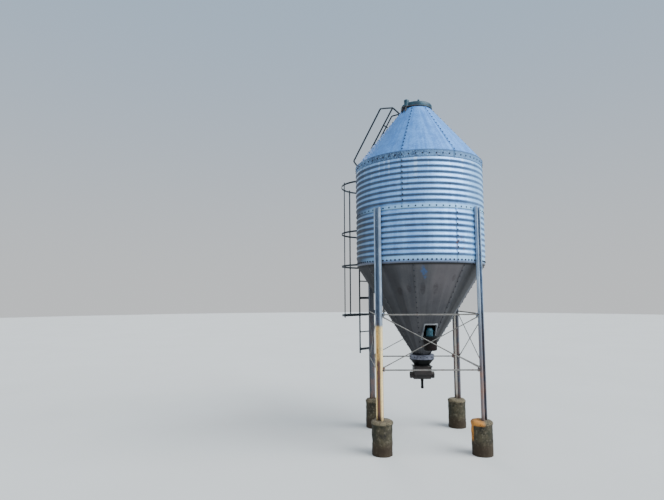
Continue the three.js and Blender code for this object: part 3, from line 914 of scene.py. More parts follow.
wallValues = {
    "waves": 8,         # corrugations in one ring
    "depth": 0.0115,
    "sheet": 0.0014,
    "samples": 10,      # points along one corrugation
    "steps": 96,        # columns in half a turn
    "lap": 2.6,         # degrees that a sheet's end lies over the next one
    "lift": 0.0018,
    "uneven": 0.0014,
}
wallRings = {
    "lower": {
        "bottom": 0.0, "valley": 0.1032, "pitch": 0.0873, "top": 0.8897, "radius": 1.0548, "seam": 22.5,
    },
    "upper": {
        "bottom": 0.813, "valley": 0.9073, "pitch": 0.0869, "top": 1.692, "radius": 1.0564, "seam": -22.5,
    },
}
# each dent: azimuth, rise, half width in degrees, half height, depth
dents = [
    (27, 0.30, 2.2, 0.020, 0.004),
    (24, 0.19, 1.6, 0.016, 0.003),
    (29, 0.13, 1.8, 0.02, 0.003),
    (-12.5, 0.47, 0.9, 0.014, 0.003),
    (-14, 0.30, 0.8, 0.014, 0.003),
    (18, 1.115, 0.8, 0.02, 0.002),
]
boltRows = {
    "lap": {"rise": 0.852, "count": 64, "radius": 1.0578, "first": -0.9, "scale": 1.0},
    "foot": {"rise": 0.0475, "count": 96, "radius": 1.0558, "first": 0.0, "scale": 1.15},
}


def wallRadius(ring, rise):
    phase = (rise - ring["valley"]) / ring["pitch"]
    if phase <= 0 or phase >= wallValues["waves"]:
        return ring["radius"]
    return ring["radius"] + wallValues["depth"] * (0.5 - 0.5 * math.cos(2 * math.pi * phase))


def crests(ring):
    # the rise of each corrugation's crest
    return [ring["valley"] + (k + 0.5) * ring["pitch"] for k in range(wallValues["waves"])]


def wallProfile(ring):
    waves = wallValues["waves"]
    count = waves * wallValues["samples"]
    first, last = ring["valley"], ring["valley"] + waves * ring["pitch"]
    rises = [ring["bottom"] + (first - ring["bottom"]) * i / 4 for i in range(4)]
    rises += [first + (last - first) * i / count for i in range(count + 1)]
    rises += [last + (ring["top"] - last) * i / 4 for i in range(1, 5)]
    return [(wallRadius(ring, rise), wallBottom + rise) for rise in rises]


def wallBulge(start):
    v = wallValues

    def bulge(azimuth, radius, z):
        lift = v["lift"] * (1 - ease(azimuth, start + v["lap"], start + v["lap"] + 0.8))
        turn = (azimuth + 180) % 360 - 180
        dent = 0.0
        for where, rise, width, height, depth in dents:
            far = ((turn - where) / width) ** 2 + ((z - wallBottom - rise) / height) ** 2
            if far < 6:
                dent += depth * math.exp(-far)
        return radius + lift + ripple(azimuth, z, v["uneven"]) - dent
    return bulge


for ringName, ring in wallRings.items():
    for letter, turn in (("a", 0), ("b", 180)):
        start = ring["seam"] + turn - wallValues["lap"] / 2
        stop = start + 180 + wallValues["lap"]
        shape = turned(wallProfile(ring), start, stop, wallValues["steps"], bulge=wallBulge(start))
        makePiece(f"wall_{ringName}_corrugated_{letter}", [shape], wallSteel,
                  replaces=[f"wall_{ringName}_sheet_{letter}"], sheet=wallValues["sheet"], sharp=60)

for rowName, row in boltRows.items():
    places = []
    for i in range(row["count"]):
        azimuth = row["first"] + 360 * i / row["count"]
        z = wallBottom + row["rise"]
        radius = row["radius"] + ripple(azimuth, z, wallValues["uneven"])
        places.append((polar(azimuth, radius, z), outward(azimuth)))
    boltPiece(f"wall_bolts_{rowName}", places, row["scale"])

places = []
for ring in wallRings.values():
    for turn in (0, 180):
        azimuth = ring["seam"] + turn
        for rise in crests(ring):
            radius = wallRadius(ring, rise) + wallValues["lift"]
            radius += ripple(azimuth, wallBottom + rise, wallValues["uneven"])
            places.append((polar(azimuth, radius, wallBottom + rise), outward(azimuth)))
boltPiece("wall_bolts_seams", places)
print("wall made")


# Roof: eight panels, each turned down over the wall's top

roofValues = {
    "eaveRadius": 1.071,
    "eaveRise": 1.702,
    "slope": 1.2424,
    "skirt": 0.105,
    "topRadius": 0.252,
    "sheet": 0.0014,
    "lap": 0.055,
    "lapRadius": 1.07,      # where the lap is measured
    "lapEase": 0.012,
    "lift": 0.0021,
    "hem": 0.002,
    "hemEase": 0.006,
    "steps": 24,
    "rows": 30,
    "uneven": 0.0025,
    "seamBolts": 14,
    "lowBolt": 1.036,       # the radii of a seam's lowest and highest bolts
    "highBolt": 0.297,
    "boltProud": 0.0032,
    "eaveBolts": 64,
    "eaveBoltRadius": 1.0635,
    "eaveBoltRise": 1.651,
}
eaveHeight = wallBottom + roofValues["eaveRise"]
roofTilt = math.degrees(math.atan(1 / roofValues["slope"]))


def roofHeight(radius):
    return eaveHeight + (roofValues["eaveRadius"] - radius) * roofValues["slope"]


def roofProfile():
    v = roofValues
    made = raised([(1.0606, 0), (1.0610, 0.02), (1.0625, 0.05), (1.0655, 0.08)], eaveHeight - v["skirt"])
    made += raised([(1.0695, -0.008), (1.0722, -0.003), (1.0722, 0.001)], eaveHeight)
    low = v["eaveRadius"] - 0.003
    for i in range(v["rows"] + 1):
        radius = low + (v["topRadius"] - low) * i / v["rows"]
        made.append((radius, roofHeight(radius)))
    return made


def roofBulge(start):
    v = roofValues

    def bulge(azimuth, radius, z):
        past = azimuth - (start + math.degrees(v["lap"] / radius))
        lift = v["lift"] * (1 - ease(past, 0, math.degrees(v["lapEase"] / radius)))
        hem = v["hem"] * (1 - ease(azimuth, start, start + math.degrees(v["hemEase"] / radius)))
        wave = ripple(azimuth, z, v["uneven"], 3.0, 1.2) * ease(z, eaveHeight - 0.02, eaveHeight + 0.1)
        return radius + lift + hem + wave
    return bulge


lapTurn = math.degrees(roofValues["lap"] / roofValues["lapRadius"])
for i in range(panels):
    start = (i - 0.5) * panelTurn - lapTurn / 2
    stop = start + panelTurn + lapTurn
    shape = turned(roofProfile(), start, stop, roofValues["steps"], bulge=roofBulge(start))
    makePiece(f"roof_sheet_{i + 1}", [shape], roofSteel, replaces=[f"roof_panel_{i + 1}"],
              sheet=roofValues["sheet"], sharp=28)

v = roofValues
places = []
for i in range(panels):
    azimuth = (i + 0.5) * panelTurn
    for k in range(v["seamBolts"]):
        radius = v["lowBolt"] - (v["lowBolt"] - v["highBolt"]) * k / (v["seamBolts"] - 1)
        point = polar(azimuth, radius + v["boltProud"], roofHeight(radius))
        places.append((point, outward(azimuth, roofTilt)))
boltPiece("roof_bolts_seams", places)
places = boltRing(v["eaveBolts"], 0, v["eaveBoltRadius"], wallBottom + v["eaveBoltRise"], -3)
boltPiece("roof_bolts_eave", places)
print("roof made")


# Hopper: eight panels bent every fifteen degrees, with the inspection window in the first

hopperValues = {
    "topRadius": 1.0512,
    "mouth": 0.141,
    "depth": 1.452,
    "flange": 0.088,
    "sheet": 0.002,
    "firstSeam": -15,
    "bend": 15,             # degrees between the bends
    "lap": 0.05,
    "lapRadius": 1.05,
    "lapEase": 0.01,
    "lift": 0.0024,
    "grid": (30, 44),       # columns and rows of a panel
    "windowGrid": (48, 132),
    "uneven": 0.003,
    "seamBolts": 17,
    "firstBolt": 0.035,
    "boltPitch": 0.0797,
    "boltScale": 0.9,
}
hopperSlope = hopperValues["depth"] / (hopperValues["topRadius"] - hopperValues["mouth"])
hopperTilt = -math.degrees(math.atan(1 / hopperSlope))


def hopperRadius(z):
    return hopperValues["topRadius"] - (wallBottom - z) / hopperSlope


windowValues = {
    "azimuth": 9.5,
    "top": -0.930,
    "width": 0.226,
    "length": 0.300,
    "bar": 0.018,
    "proud": 0.014,
    "deep": 0.026,
    "cutMargin": 0.012,     # how far the sheet is cut back behind the bars
    "boltMargin": 0.05,     # no seam bolt stands nearer than this
    "screwAcross": 0.101,
    "screwPitch": 0.1,
    "screwScale": 0.5,
}
windowDrop = windowValues["length"] / 2 * math.sin(math.atan(hopperSlope))
windowMiddle = wallBottom + windowValues["top"] - windowDrop
windowPlace = polar(windowValues["azimuth"], hopperRadius(windowMiddle), windowMiddle)
windowAcross = sideways(windowValues["azimuth"])
windowOut = outward(windowValues["azimuth"], hopperTilt)
windowUp = windowOut.cross(windowAcross)


def inWindow(point, margin):
    away = Vector(point) - windowPlace
    halfWidth = windowValues["width"] / 2 - windowValues["bar"] + margin
    halfLength = windowValues["length"] / 2 - windowValues["bar"] + margin
    return abs(away.dot(windowAcross)) < halfWidth and abs(away.dot(windowUp)) < halfLength


def hopperProfile(rows):
    v = hopperValues
    made = []
    for i in range(rows + 1):
        z = wallBottom - v["depth"] * (1 - i / rows)
        made.append((hopperRadius(z), z))
    return made + [(v["topRadius"], wallBottom + 0.01), (v["topRadius"], wallBottom + v["flange"])]


def hopperBulge(start):
    v = hopperValues
    half = v["bend"] / 2

    def bulge(azimuth, radius, z):
        down = wallBottom - z
        off = (azimuth - v["firstSeam"]) % v["bend"] - half
        flat = math.cos(math.radians(half)) / math.cos(math.radians(off))
        share = ease(down, 0.0, 0.25) * 0.8
        lapEnd = start + math.degrees(v["lap"] / radius)
        lift = v["lift"] * (1 - ease(azimuth, lapEnd, lapEnd + math.degrees(v["lapEase"] / radius)))
        lift *= ease(down, 0.0, 0.05)
        wave = ripple(azimuth, z, v["uneven"], 3.0, 2.0) * ease(down, 0.0, 0.2)
        return radius * (1 - share + share * flat) + lift + wave
    return bulge


lapTurn = math.degrees(hopperValues["lap"] / hopperValues["lapRadius"])
for i in range(panels):
    start = i * panelTurn + hopperValues["firstSeam"] - lapTurn / 2
    stop = start + panelTurn + lapTurn
    steps, rows = hopperValues["grid" if i else "windowGrid"]
    points, faces = turned(hopperProfile(rows), start, stop, steps, bulge=hopperBulge(start))
    if i == 0:
        mids = [sum((Vector(points[k]) for k in face), Vector()) / 4 for face in faces]
        faces = [face for face, mid in zip(faces, mids) if not inWindow(mid, windowValues["cutMargin"])]
    makePiece(f"hopper_sheet_{i + 1}", [(points, faces)], hopperSteel,
              replaces=[f"hopper_panel_{i + 1}"], sheet=hopperValues["sheet"], sharp=40)

places = []
for i in range(panels):
    seam = i * panelTurn + hopperValues["firstSeam"]
    bulge = hopperBulge(seam - 1.4)
    for k in range(hopperValues["seamBolts"]):
        z = wallBottom - hopperValues["firstBolt"] - k * hopperValues["boltPitch"]
        point = polar(seam, bulge(seam, hopperRadius(z), z), z)
        if not inWindow(point, windowValues["boltMargin"]):
            places.append((point, outward(seam, hopperTilt)))
boltPiece("hopper_bolts_seams", places, hopperValues["boltScale"])


def windowSpot(across, up, out):
    return windowPlace + windowAcross * across + windowUp * up + windowOut * out


def windowBars():
    v = windowValues
    w, h, b = v["width"] / 2, v["length"] / 2, v["bar"]
    outer = [(-w, -h), (w, -h), (w, h), (-w, h)]
    inner = [(-w + b, -h + b), (w - b, -h + b), (w - b, h - b), (-w + b, h - b)]
    origin, depth = windowSpot(0, 0, -v["deep"]), windowOut * (v["deep"] + v["proud"])
    shapes = []
    for i in range(4):
        j = (i + 1) % 4
        shapes.append(prism([outer[i], outer[j], inner[j], inner[i]], origin, windowAcross, windowUp, depth))
    return shapes


makePiece("window_bars", windowBars(), windowPaint, replaces=["window_frame"],
          bevel=0.003, merge=False)
v = windowValues
places = []
for side in (-1, 1):
    for step in (-1, 0, 1):
        point = windowSpot(side * v["screwAcross"], step * v["screwPitch"], v["proud"])
        places.append((point, windowOut))
boltPiece("window_screws", places, v["screwScale"])

# Outlet pot against the cone, with its domed cap standing at the window

potValues = {
    "centre": 0.420,
    "radius": 0.112,
    "top": -1.125,
    "bottom": -1.350,
    "rim": 0.022,
    "waist": 0.008,
    "clear": 0.0015,        # between the pot and the cone
}
potAxis = polar(windowValues["azimuth"], potValues["centre"], 0)


def againstCone(shape):
    # points that would lie inside the hopper are brought out onto its sheet
    points = []
    for x, y, z in shape[0]:
        away = Vector((x - axis.x, y - axis.y))
        least = hopperRadius(z) + potValues["clear"]
        if away.length < least:
            away = away.normalized() * least
        points.append((axis.x + away.x, axis.y + away.y, z))
    return points, shape[1]


def potOutlines():
    v = potValues
    r, low = v["radius"], 0.028
    waist = r - v["waist"]
    top, bottom = wallBottom + v["top"], wallBottom + v["bottom"]
    body = [(0, 0), (0.02, -0.0005), (waist - 0.03, 0), (waist - 0.012, 0.004), (waist - 0.003, 0.014)]
    body = raised(body + [(waist, low)], bottom)
    body += [(waist, bottom + low + (top - v["rim"] - bottom - low) * i / 8) for i in range(1, 9)]
    rim = [(waist, -v["rim"]), (r - 0.002, -v["rim"]), (r, 0.003 - v["rim"]), (r, -0.004), (r - 0.003, 0)]
    rim += [(r - 0.016, 0), (r - 0.02, -0.003), (0.06, -0.003), (0.03, -0.0025), (0, -0.0025)]
    return body, raised(rim, top)


potBody, potRim = potOutlines()
shape = againstCone(turned(potBody, centre=potAxis))
makePiece("outlet_pot_body", [shape], potPaint, replaces=["outlet_pot"], sharp=50)
shape = againstCone(turned(potRim, centre=potAxis))
makePiece("outlet_pot_rim", [shape], potRimPaint, sharp=30)

capValues = {"centre": 0.392, "radius": 0.057, "straight": 0.082, "dome": 0.051}
capAxis = polar(windowValues["azimuth"], capValues["centre"], 0)


def capOutline():
    v = capValues
    r, s = v["radius"], v["straight"]
    made = [(r - 0.003, -0.002), (r, 0), (r, 0.012), (r - 0.0025, 0.014), (r - 0.0025, s - 0.012)]
    made += [(r, s - 0.01)] + arc(0, s, r, 0, 90, 10, v["dome"])
    return raised(made, wallBottom + potValues["top"])


makePiece("outlet_cap_dome", [turned(capOutline(), steps=40, centre=capAxis)], capPaint,
          replaces=["outlet_cap"])
print("hopper, window and outlet made")


# Fill collar, lid and hinge

lidValues = {
    "collarSheet": 0.0022,
    "sheet": 0.004,
    "radius": 0.270,
    "side": 0.058,          # where the side turns into the shoulder
    "shoulder": (0.026, 0.036),
    "top": 0.094,
    "dome": 0.024,
    "step": 0.003,
    "sealRadius": 0.2665,
    "sealHalf": 0.0055,
    "hingeAzimuth": -48,
    "hingeRadius": 0.320,
    "hingeRise": 0.004,
    "eyeRadius": 0.014,
    "cheekFoot": 0.03,
    "cheekPlace": 0.032,
    "cheekSheet": 0.008,
    "barrelRadius": 0.045,
    "barrelPlace": 0.262,
    "barrelTop": 0.140,
    "barrelRound": 0.017,
    "knobAcross": 0.043,
    "knobTop": 0.226,
    "knobRadius": 0.020,
}
collarOutline = raised([
    (0.249, 0.012), (0.2515, 0.016), (0.2515, 0.022), (0.249, 0.026), (0.249, 0.066),
    (0.247, 0.071), (0.242, 0.0735), (0.232, 0.0735), (0.2275, 0.071), (0.2265, 0.067),
], lidBottom)
collarOutline.insert(0, (0.249, wallBottom + 2.652))
makePiece("fill_collar_ring", [turned(collarOutline, steps=96)], wallSteel,
          replaces=["fill_collar"], sheet=lidValues["collarSheet"], sharp=50)


def lidOutline():
    v = lidValues
    r, side = v["radius"], v["side"]
    wide, tall = v["shoulder"]
    made = [(r - 0.0035, 0.004), (r - 0.001, 0.006), (r - 0.001, 0.022), (r, 0.026)]
    made += arc(r - wide, side, wide, 0, 80, 8, tall)
    first = made[-1][0]
    for i in range(1, 19):
        radius = first * (1 - i / 18)
        height = v["top"] + v["dome"] * (1 - (radius / first) ** 2)
        made.append((radius, height + v["step"] * ease(radius, 0.125, 0.118)))
    return raised(made, lidBottom)


makePiece("lid_cap", [turned(lidOutline(), steps=96)], lidFinish, "lid",
          replaces=["fill_lid"], sheet=lidValues["sheet"], sharp=40)
v = lidValues
# a near-black seal bead under the lid's edge, which also stands in for the shadow under the lid
sealOutline = raised(arc(v["sealRadius"], 0.0065, v["sealHalf"], 0, 360, 14)[:-1], lidBottom)
makePiece("lid_seal", [turned(sealOutline, steps=96, ring=True)], sealAndShadowRubber, "lid")

r, top, bend = v["barrelRadius"], v["barrelTop"], v["barrelRound"]
barrelOutline = [(0, 0.012), (r - 0.01, 0.012), (r, 0.016), (r, 0.034), (r - 0.003, 0.037)]
barrelOutline += [(r - 0.003, 0.098), (r, 0.101), (r, top - 0.018)]
barrelOutline += arc(r - bend, top - bend, bend, 0, 90, 6)[1:]
barrelOutline.append((0, top + 0.0015))
barrelAxis = polar(v["hingeAzimuth"], v["barrelPlace"], 0)
shape = turned(raised(barrelOutline, lidBottom), steps=40, centre=barrelAxis)
makePiece("lid_spring_barrel", [shape], lidFinish, "lid")

r, foot = v["knobRadius"], v["top"] + v["dome"]
knobOutline = [(0.034, foot - 0.006), (0.034, foot + 0.003), (0.031, foot + 0.005), (0.016, foot + 0.006)]
knobOutline += [(0.012, foot + 0.012), (0.0105, foot + 0.06)] + arc(0, v["knobTop"] - r, r, -62, 90, 12)
knobPlace = Vector((axis.x + v["knobAcross"], axis.y, 0))
shape = turned(raised(knobOutline, lidBottom), steps=28, centre=knobPlace)
makePiece("lid_knob", [shape], lidFinish, "lid")

hingeAcross, hingeOut = sideways(v["hingeAzimuth"]), outward(v["hingeAzimuth"])
hingePlace = polar(v["hingeAzimuth"], v["hingeRadius"], lidBottom + v["hingeRise"])
r = v["eyeRadius"]
eye = [(0.0085, -0.022), (r, -0.022), (r, 0.022), (0.0085, 0.022), (0.0085, -0.022)]
arm = box(hingePlace - hingeOut * 0.021 + up * 0.003, hingeAcross, up, hingeOut, (0.044, 0.012, 0.022))
makePiece("lid_arm", [lathe(eye, hingePlace, hingeAcross, 28), arm], hingeSteel, "lid",
          bevel=0.0012)


def cheek(side):
    # one side plate of the hinge bracket, with its foot along the roof
    v = lidValues
    long, thick, slope = v["cheekFoot"], v["cheekSheet"], roofValues["slope"]
    foot = roofHeight(v["hingeRadius"]) + 0.002 - hingePlace.z
    outline = [(-long, foot + long * slope), (long, foot - long * slope)]
    outline += arc(0, 0, v["eyeRadius"], -20, 200, 12)
    origin = hingePlace + hingeAcross * (side * v["cheekPlace"] - thick / 2)
    return prism(outline, origin, hingeOut, up, hingeAcross * thick)


pinOutline = [(0, -0.041), (0.006, -0.041), (0.007, -0.04), (0.007, 0.04), (0.006, 0.041), (0, 0.041)]
pinHead = [(0, -0.046), (0.011, -0.046), (0.012, -0.045), (0.012, -0.0375), (0, -0.0375)]
hingeShapes = [cheek(-1), cheek(1), lathe(pinOutline, hingePlace, hingeAcross, 20)]
hingeShapes += [lathe(pinHead, hingePlace, way, 6) for way in (hingeAcross, -hingeAcross)]
makePiece("hinge_bracket", hingeShapes, hingeSteel, replaces=["lid_hinge"], bevel=0.001)
print("lid made")


# Legs: roll-formed lipped channels, with their bolts through the web

legValues = {
    "width": 0.112,
    "depth": 0.046,
    "sheet": 0.0045,
    "lip": 0.0215,
    "bend": 0.006,
    "seat": 1.0673,         # the web's back, from the silo's axis
    "sink": 0.012,          # how far the foot stands in the pier
    "boltAcross": 0.021,
    "boltScale": 0.95,
}
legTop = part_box("leg_front_left")[1].z


def channelOutline():
    v = legValues
    w, d, t, b, lip = v["width"] / 2, v["depth"], v["sheet"], v["bend"], v["lip"]
    half = arc(w - b, b, b, -90, 0) + arc(w - b, d - b, b, 0, 90) + [(w - lip, d)]
    half += [(w - lip, d - t)] + arc(w - b, d - b, b - t, 90, 0) + arc(w - b, b, b - t, 0, -90)
    return half + [(-x, y) for x, y in reversed(half)]


places = []
for name, azimuth in corners.items():
    v = legValues
    origin = polar(azimuth, v["seat"], pierTop - v["sink"])
    tall = up * (legTop - pierTop + v["sink"])
    shape = prism(channelOutline(), origin, sideways(azimuth), outward(azimuth), tall)
    makePiece(f"leg_channel_{name}", [shape], legSteel, replaces=[f"leg_{name}"], sharp=30)
    for rise in crests(wallRings["lower"]):
        for across in (-v["boltAcross"], v["boltAcross"]):
            point = spot(azimuth, across, v["seat"] + v["sheet"], wallBottom + rise)
            places.append((point, outward(azimuth)))
boltPiece("leg_bolts", places, legValues["boltScale"], paint=legSteel)
print("legs made")


# Ties and crossed rods between neighbouring legs

legLine = 1.067 * math.sqrt(0.5)       # from the axis to the legs, along a side and across it
braceValues = {
    "tie": {"upper": -0.771, "lower": -1.590},
    "line": legLine + 0.055,
    "width": 0.022,
    "sheet": 0.006,
    "rod": 0.007,
    "crossUpper": -0.795,
    "crossLower": -1.566,
    "reach": legLine - 0.022,
    "gusset": (0.062, 0.07, 0.004),
    "gussetIn": 0.012,
    "gussetBack": 0.0145,
    "gussetShift": {"upper": -0.01, "lower": 0.01},
    "boltIn": 0.014,
    "boltScale": 0.8,
}
# small gusset plates stand where ties and rods meet the legs
plates, bolts = [], []


def rodShapes(azimuth, sign):
    # a rod with a sleeve and a nut at each end
    v = braceValues
    line = v["line"] + sign * (v["rod"] + 0.0003)
    left, right = [wallBottom + v[end] for end in ("crossUpper", "crossLower")][::sign]
    first, last = spot(azimuth, -v["reach"], line, left), spot(azimuth, v["reach"], line, right)
    along = (last - first).normalized()
    nut = [(0, 0.03), (0.0115, 0.03), (0.013, 0.032), (0.013, 0.042), (0.0115, 0.044), (0, 0.044)]
    sleeve = [(0, 0.044), (0.009, 0.044), (0.009, 0.13), (0.0075, 0.133)]
    shapes = [tube([first, last], v["rod"], 14)]
    for end, way in ((first, along), (last, -along)):
        shapes += [lathe(nut, end, way, 6), lathe(sleeve, end, way, 14)]
    return shapes


for name, azimuth in sideTurns.items():
    v = braceValues
    across, face = sideways(azimuth), outward(azimuth)
    for level, rise in v["tie"].items():
        origin = spot(azimuth, 0, v["line"] - v["sheet"] / 2, wallBottom + rise)
        outline = stadium(v["reach"] - v["width"] / 2, v["width"] / 2)
        shape = prism(outline, origin, across, up, face * v["sheet"])
        makePiece(f"tie_bar_{level}_{name}", [shape], braceSteel,
                  replaces=[f"tie_{level}_{name}"], bevel=0.001)
        plateHeight = wallBottom + (rise + v["gussetShift"][level])
        for side in (-1, 1):
            plateAcross, boltAcross = side * (v["reach"] - v["gussetIn"]), side * (v["reach"] - v["boltIn"])
            centre = spot(azimuth, plateAcross, v["line"] - v["gussetBack"], plateHeight)
            plates.append(box(centre, across, up, face, v["gusset"]))
            bolts.append((spot(azimuth, boltAcross, v["line"] + v["sheet"] / 2, wallBottom + rise), face))
    for letter, sign in (("a", 1), ("b", -1)):
        makePiece(f"cross_bar_{name}_{letter}", rodShapes(azimuth, sign), braceSteel,
                  replaces=[f"cross_rod_{name}_{letter}"])

makePiece("brace_gussets", plates, legSteel, bevel=0.001, merge=False)
boltPiece("brace_bolts", bolts, braceValues["boltScale"])
print("braces made")


# Boot: band, funnel, trough with its two round sockets, and the clean-out handle

bootValues = {
    "bandRadius": 0.203,
    "bandTop": wallBottom - 1.4523,
    "bandHeight": 0.072,
    "bandBolts": 12,
    "bandBoltScale": 0.8,
    "funnelMouth": 0.125,
    "funnelHeight": 0.114,
    "gap": 0.0003,          # between one piece of the boot and the next
    "halfLength": 0.140,
    "halfWidth": 0.112,
    "overhang": 0.014,
    "rimWidth": 0.026,
    "rimHeight": 0.012,
    "wall": 0.004,
    "bottomRadius": 0.072,
    "socketHeight": wallBottom - 1.790,
    "socketRadius": 0.052,
    "boreRadius": 0.044,
    "socketLength": 0.060,
    "lug": (0.018, 0.02, 0.014),
    "boltScale": 0.7,
}
v = bootValues
r, top, low = v["bandRadius"], v["bandTop"], v["bandTop"] - v["bandHeight"]
bandOutline = [(r - 0.008, top - 0.008)]
bandOutline += raised([(r - 0.005, 0), (r, 0), (r, 0.014), (r - 0.003, 0.017)], low)
bandOutline += raised([(r - 0.003, -0.017), (r, -0.014), (r, -0.003), (r - 0.004, 0)], top)
bandOutline += raised([(0.130, 0), (0.130, -0.004)], top)
makePiece("boot_collar", [turned(bandOutline, steps=72, ring=True)], bandSteel,
          replaces=["boot_band"])
places = boltRing(v["bandBolts"], 15, r - 0.003, (top + low) / 2)
boltPiece("boot_band_bolts", places, v["bandBoltScale"])

m, funnelTop = v["funnelMouth"], low - v["gap"]
funnelLow = funnelTop - v["funnelHeight"]
funnelOutline = [(m - 0.006, 0), (m + 0.020, 0), (m + 0.020, 0.006), (m + 0.002, 0.007), (m + 0.001, 0.016)]
funnelOutline = raised(funnelOutline, funnelLow)
funnelOutline += raised([(r - 0.012, -0.016), (r - 0.003, -0.010), (r - 0.001, -0.008)], funnelTop)
funnelOutline += [(r - 0.001, funnelTop), (r - 0.008, funnelTop), (m - 0.005, funnelLow + 0.016)]
makePiece("boot_cone", [turned(funnelOutline, steps=72, ring=True)], bootPaint,
          replaces=["boot_funnel"])

troughTop = funnelLow - v["gap"]
along, cross = Vector((1, 0, 0)), Vector((0, 1, 0))


def troughOutline(inset=0.0):
    # across the trough, from the top's left edge round the bottom
    v = bootValues
    halfWidth, topZ, shoulder = v["halfWidth"] - inset, troughTop - 0.002, v["socketHeight"] + 0.012
    points = [(-halfWidth, topZ), (-halfWidth, shoulder)]
    points += arc(0, v["socketHeight"], v["bottomRadius"] - inset, 180, 360, 18)
    return points + [(halfWidth, shoulder), (halfWidth, topZ)]


def rayHit(outline, centre, through):
    # where the ray from centre through a point leaves the outline
    dx, dy = through[0] - centre[0], through[1] - centre[1]
    best = None
    for (ax, ay), (bx, by) in zip(outline, outline[1:] + outline[:1]):
        ex, ey = bx - ax, by - ay
        det = dx * -ey + dy * ex
        if abs(det) < 1e-12:
            continue
        px, py = ax - centre[0], ay - centre[1]
        t = (px * -ey + py * ex) / det
        s = (dx * py - dy * px) / det
        if t > 0 and -1e-6 <= s <= 1 + 1e-6 and (best is None or t < best):
            best = t
    return centre[0] + dx * best, centre[1] + dy * best


def endPlate(x):
    # an end plate with a round hole
    v = bootValues
    count, half = 40, v["wall"] / 2
    hole = arc(0, v["socketHeight"], v["boreRadius"], 0, 360, count)[:-1]
    outer = [rayHit(troughOutline(v["wall"]), (0, v["socketHeight"]), point) for point in hole]
    points = [(x + dx, axis.y + y, z) for dx in (-half, half) for y, z in hole + outer]
    faces = []
    for i in range(count):
        j = (i + 1) % count
        faces.append((i, j, count + j, count + i))
        faces.append((2 * count + j, 2 * count + i, 3 * count + i, 3 * count + j))
        faces.append((j, i, 2 * count + i, 2 * count + j))
    return points, faces


def troughShapes():
    v = bootValues
    half = v["halfLength"]
    shell = troughOutline() + list(reversed(troughOutline(v["wall"])))
    origin = Vector((axis.x - half, axis.y, 0))
    shapes = [prism(shell, origin, cross, up, along * (2 * half))]
    shapes += [endPlate(axis.x + side * (half - v["wall"] / 2)) for side in (-1, 1)]
    # rim flange round the top
    w, reach, b, h = v["halfWidth"] + v["overhang"], half + v["overhang"], v["rimWidth"], v["rimHeight"]
    z = troughTop - h / 2
    bars = [(0, w - b / 2, 2 * reach, b), (0, -w + b / 2, 2 * reach, b)]
    bars += [(reach - b / 2, 0, b, 2 * (w - b)), (b / 2 - reach, 0, b, 2 * (w - b))]
    for x, y, sizeX, sizeY in bars:
        shapes.append(box(Vector((axis.x + x, axis.y + y, z)), along, cross, up, (sizeX, sizeY, h)))
    return shapes


makePiece("auger_trough", troughShapes(), boxPaint, replaces=["auger_boot"],
          bevel=0.001, merge=False)


def socketOutline():
    v = bootValues
    a, r = v["boreRadius"], v["socketRadius"]
    start, stop = v["halfLength"] - 0.001, v["halfLength"] + v["socketLength"]
    made = [(a, start), (r + 0.012, start), (r + 0.012, start + 0.006), (r, start + 0.008), (r, stop - 0.030)]
    made += [(r + 0.004, stop - 0.029), (r + 0.004, stop - 0.010), (r, stop - 0.009), (r, stop - 0.002)]
    return made + [(r - 0.002, stop), (a, stop), (a, start)]


socketPlace = Vector((axis.x, axis.y, v["socketHeight"]))
lugReach, lugSide = v["halfLength"] + v["socketLength"] - 0.0195, v["socketRadius"] + 0.010
shapes, places = [], []
for way in (-1, 1):
    shapes.append(lathe(socketOutline(), socketPlace, along * way, 40))
    lug = socketPlace + along * way * lugReach - cross * lugSide
    shapes.append(box(lug, along, up, cross, v["lug"]))
    places.append((lug + up * 0.010, up))
makePiece("auger_sockets", shapes, boxPaint, bevel=0.0008)
reach, side = v["halfLength"] + 0.001, v["halfWidth"] + 0.001
for x in (-reach, -reach / 2, 0, reach / 2, reach):
    for y in (-side, side):
        places.append((Vector((axis.x + x, axis.y + y, troughTop)) - up * v["rimHeight"], -up))
boltPiece("auger_bolts", places, v["boltScale"])

handleOutline = [
    (0, -0.150), (0.016, -0.149), (0.0225, -0.145), (0.025, -0.138), (0.025, -0.122), (0.023, -0.114),
    (0.022, -0.109), (0.0215, -0.104), (0.0215, -0.03), (0.022, -0.028), (0.024, -0.027),
    (0.024, -0.004), (0.026, -0.003), (0.026, 0), (0, 0),
]
handlePlace = Vector((axis.x, axis.y, v["socketHeight"] - v["bottomRadius"] - v["gap"]))
makePiece("cleanout_grip", [lathe(handleOutline, handlePlace, up, 24)], gripPaint,
          replaces=["cleanout_handle"])
print("boot made")


# Ladder, cage and roof rails behind the silo

ladderValues = {
    "azimuth": -135,
    "radius": 1.250,
    "halfWidth": 0.140,
    "stile": 0.014,
    "rung": 0.011,
    "pitch": 0.310,
    "bottom": -1.530,
    "top": 1.900,
    "firstRung": -1.455,
    "rungs": 11,
    "bracketRungs": (0, 3, 6, 9),
    "carrier": 1.067,       # the wall's outside above the legs, where the upper bracket is fixed
    "strap": (0.280, 0.044, 0.006),
    "arm": (0.048, 0.008),
    "plate": (0.105, 0.044, 0.006),
    "boltAcross": 0.037,
    "boltScale": 0.85,
}


def ladderSpot(across, outwards, z):
    return spot(ladderValues["azimuth"], across, outwards, z)


ladderAcross, ladderOut = sideways(ladderValues["azimuth"]), outward(ladderValues["azimuth"])


def rungHeight(i):
    return wallBottom + ladderValues["firstRung"] + i * ladderValues["pitch"]


def carrierAt(z):
    return legValues["seat"] + legValues["depth"] if z < legTop else ladderValues["carrier"]


def ladderBox(outwards, z, size):
    return box(ladderSpot(0, outwards, z), ladderAcross, up, ladderOut, size)


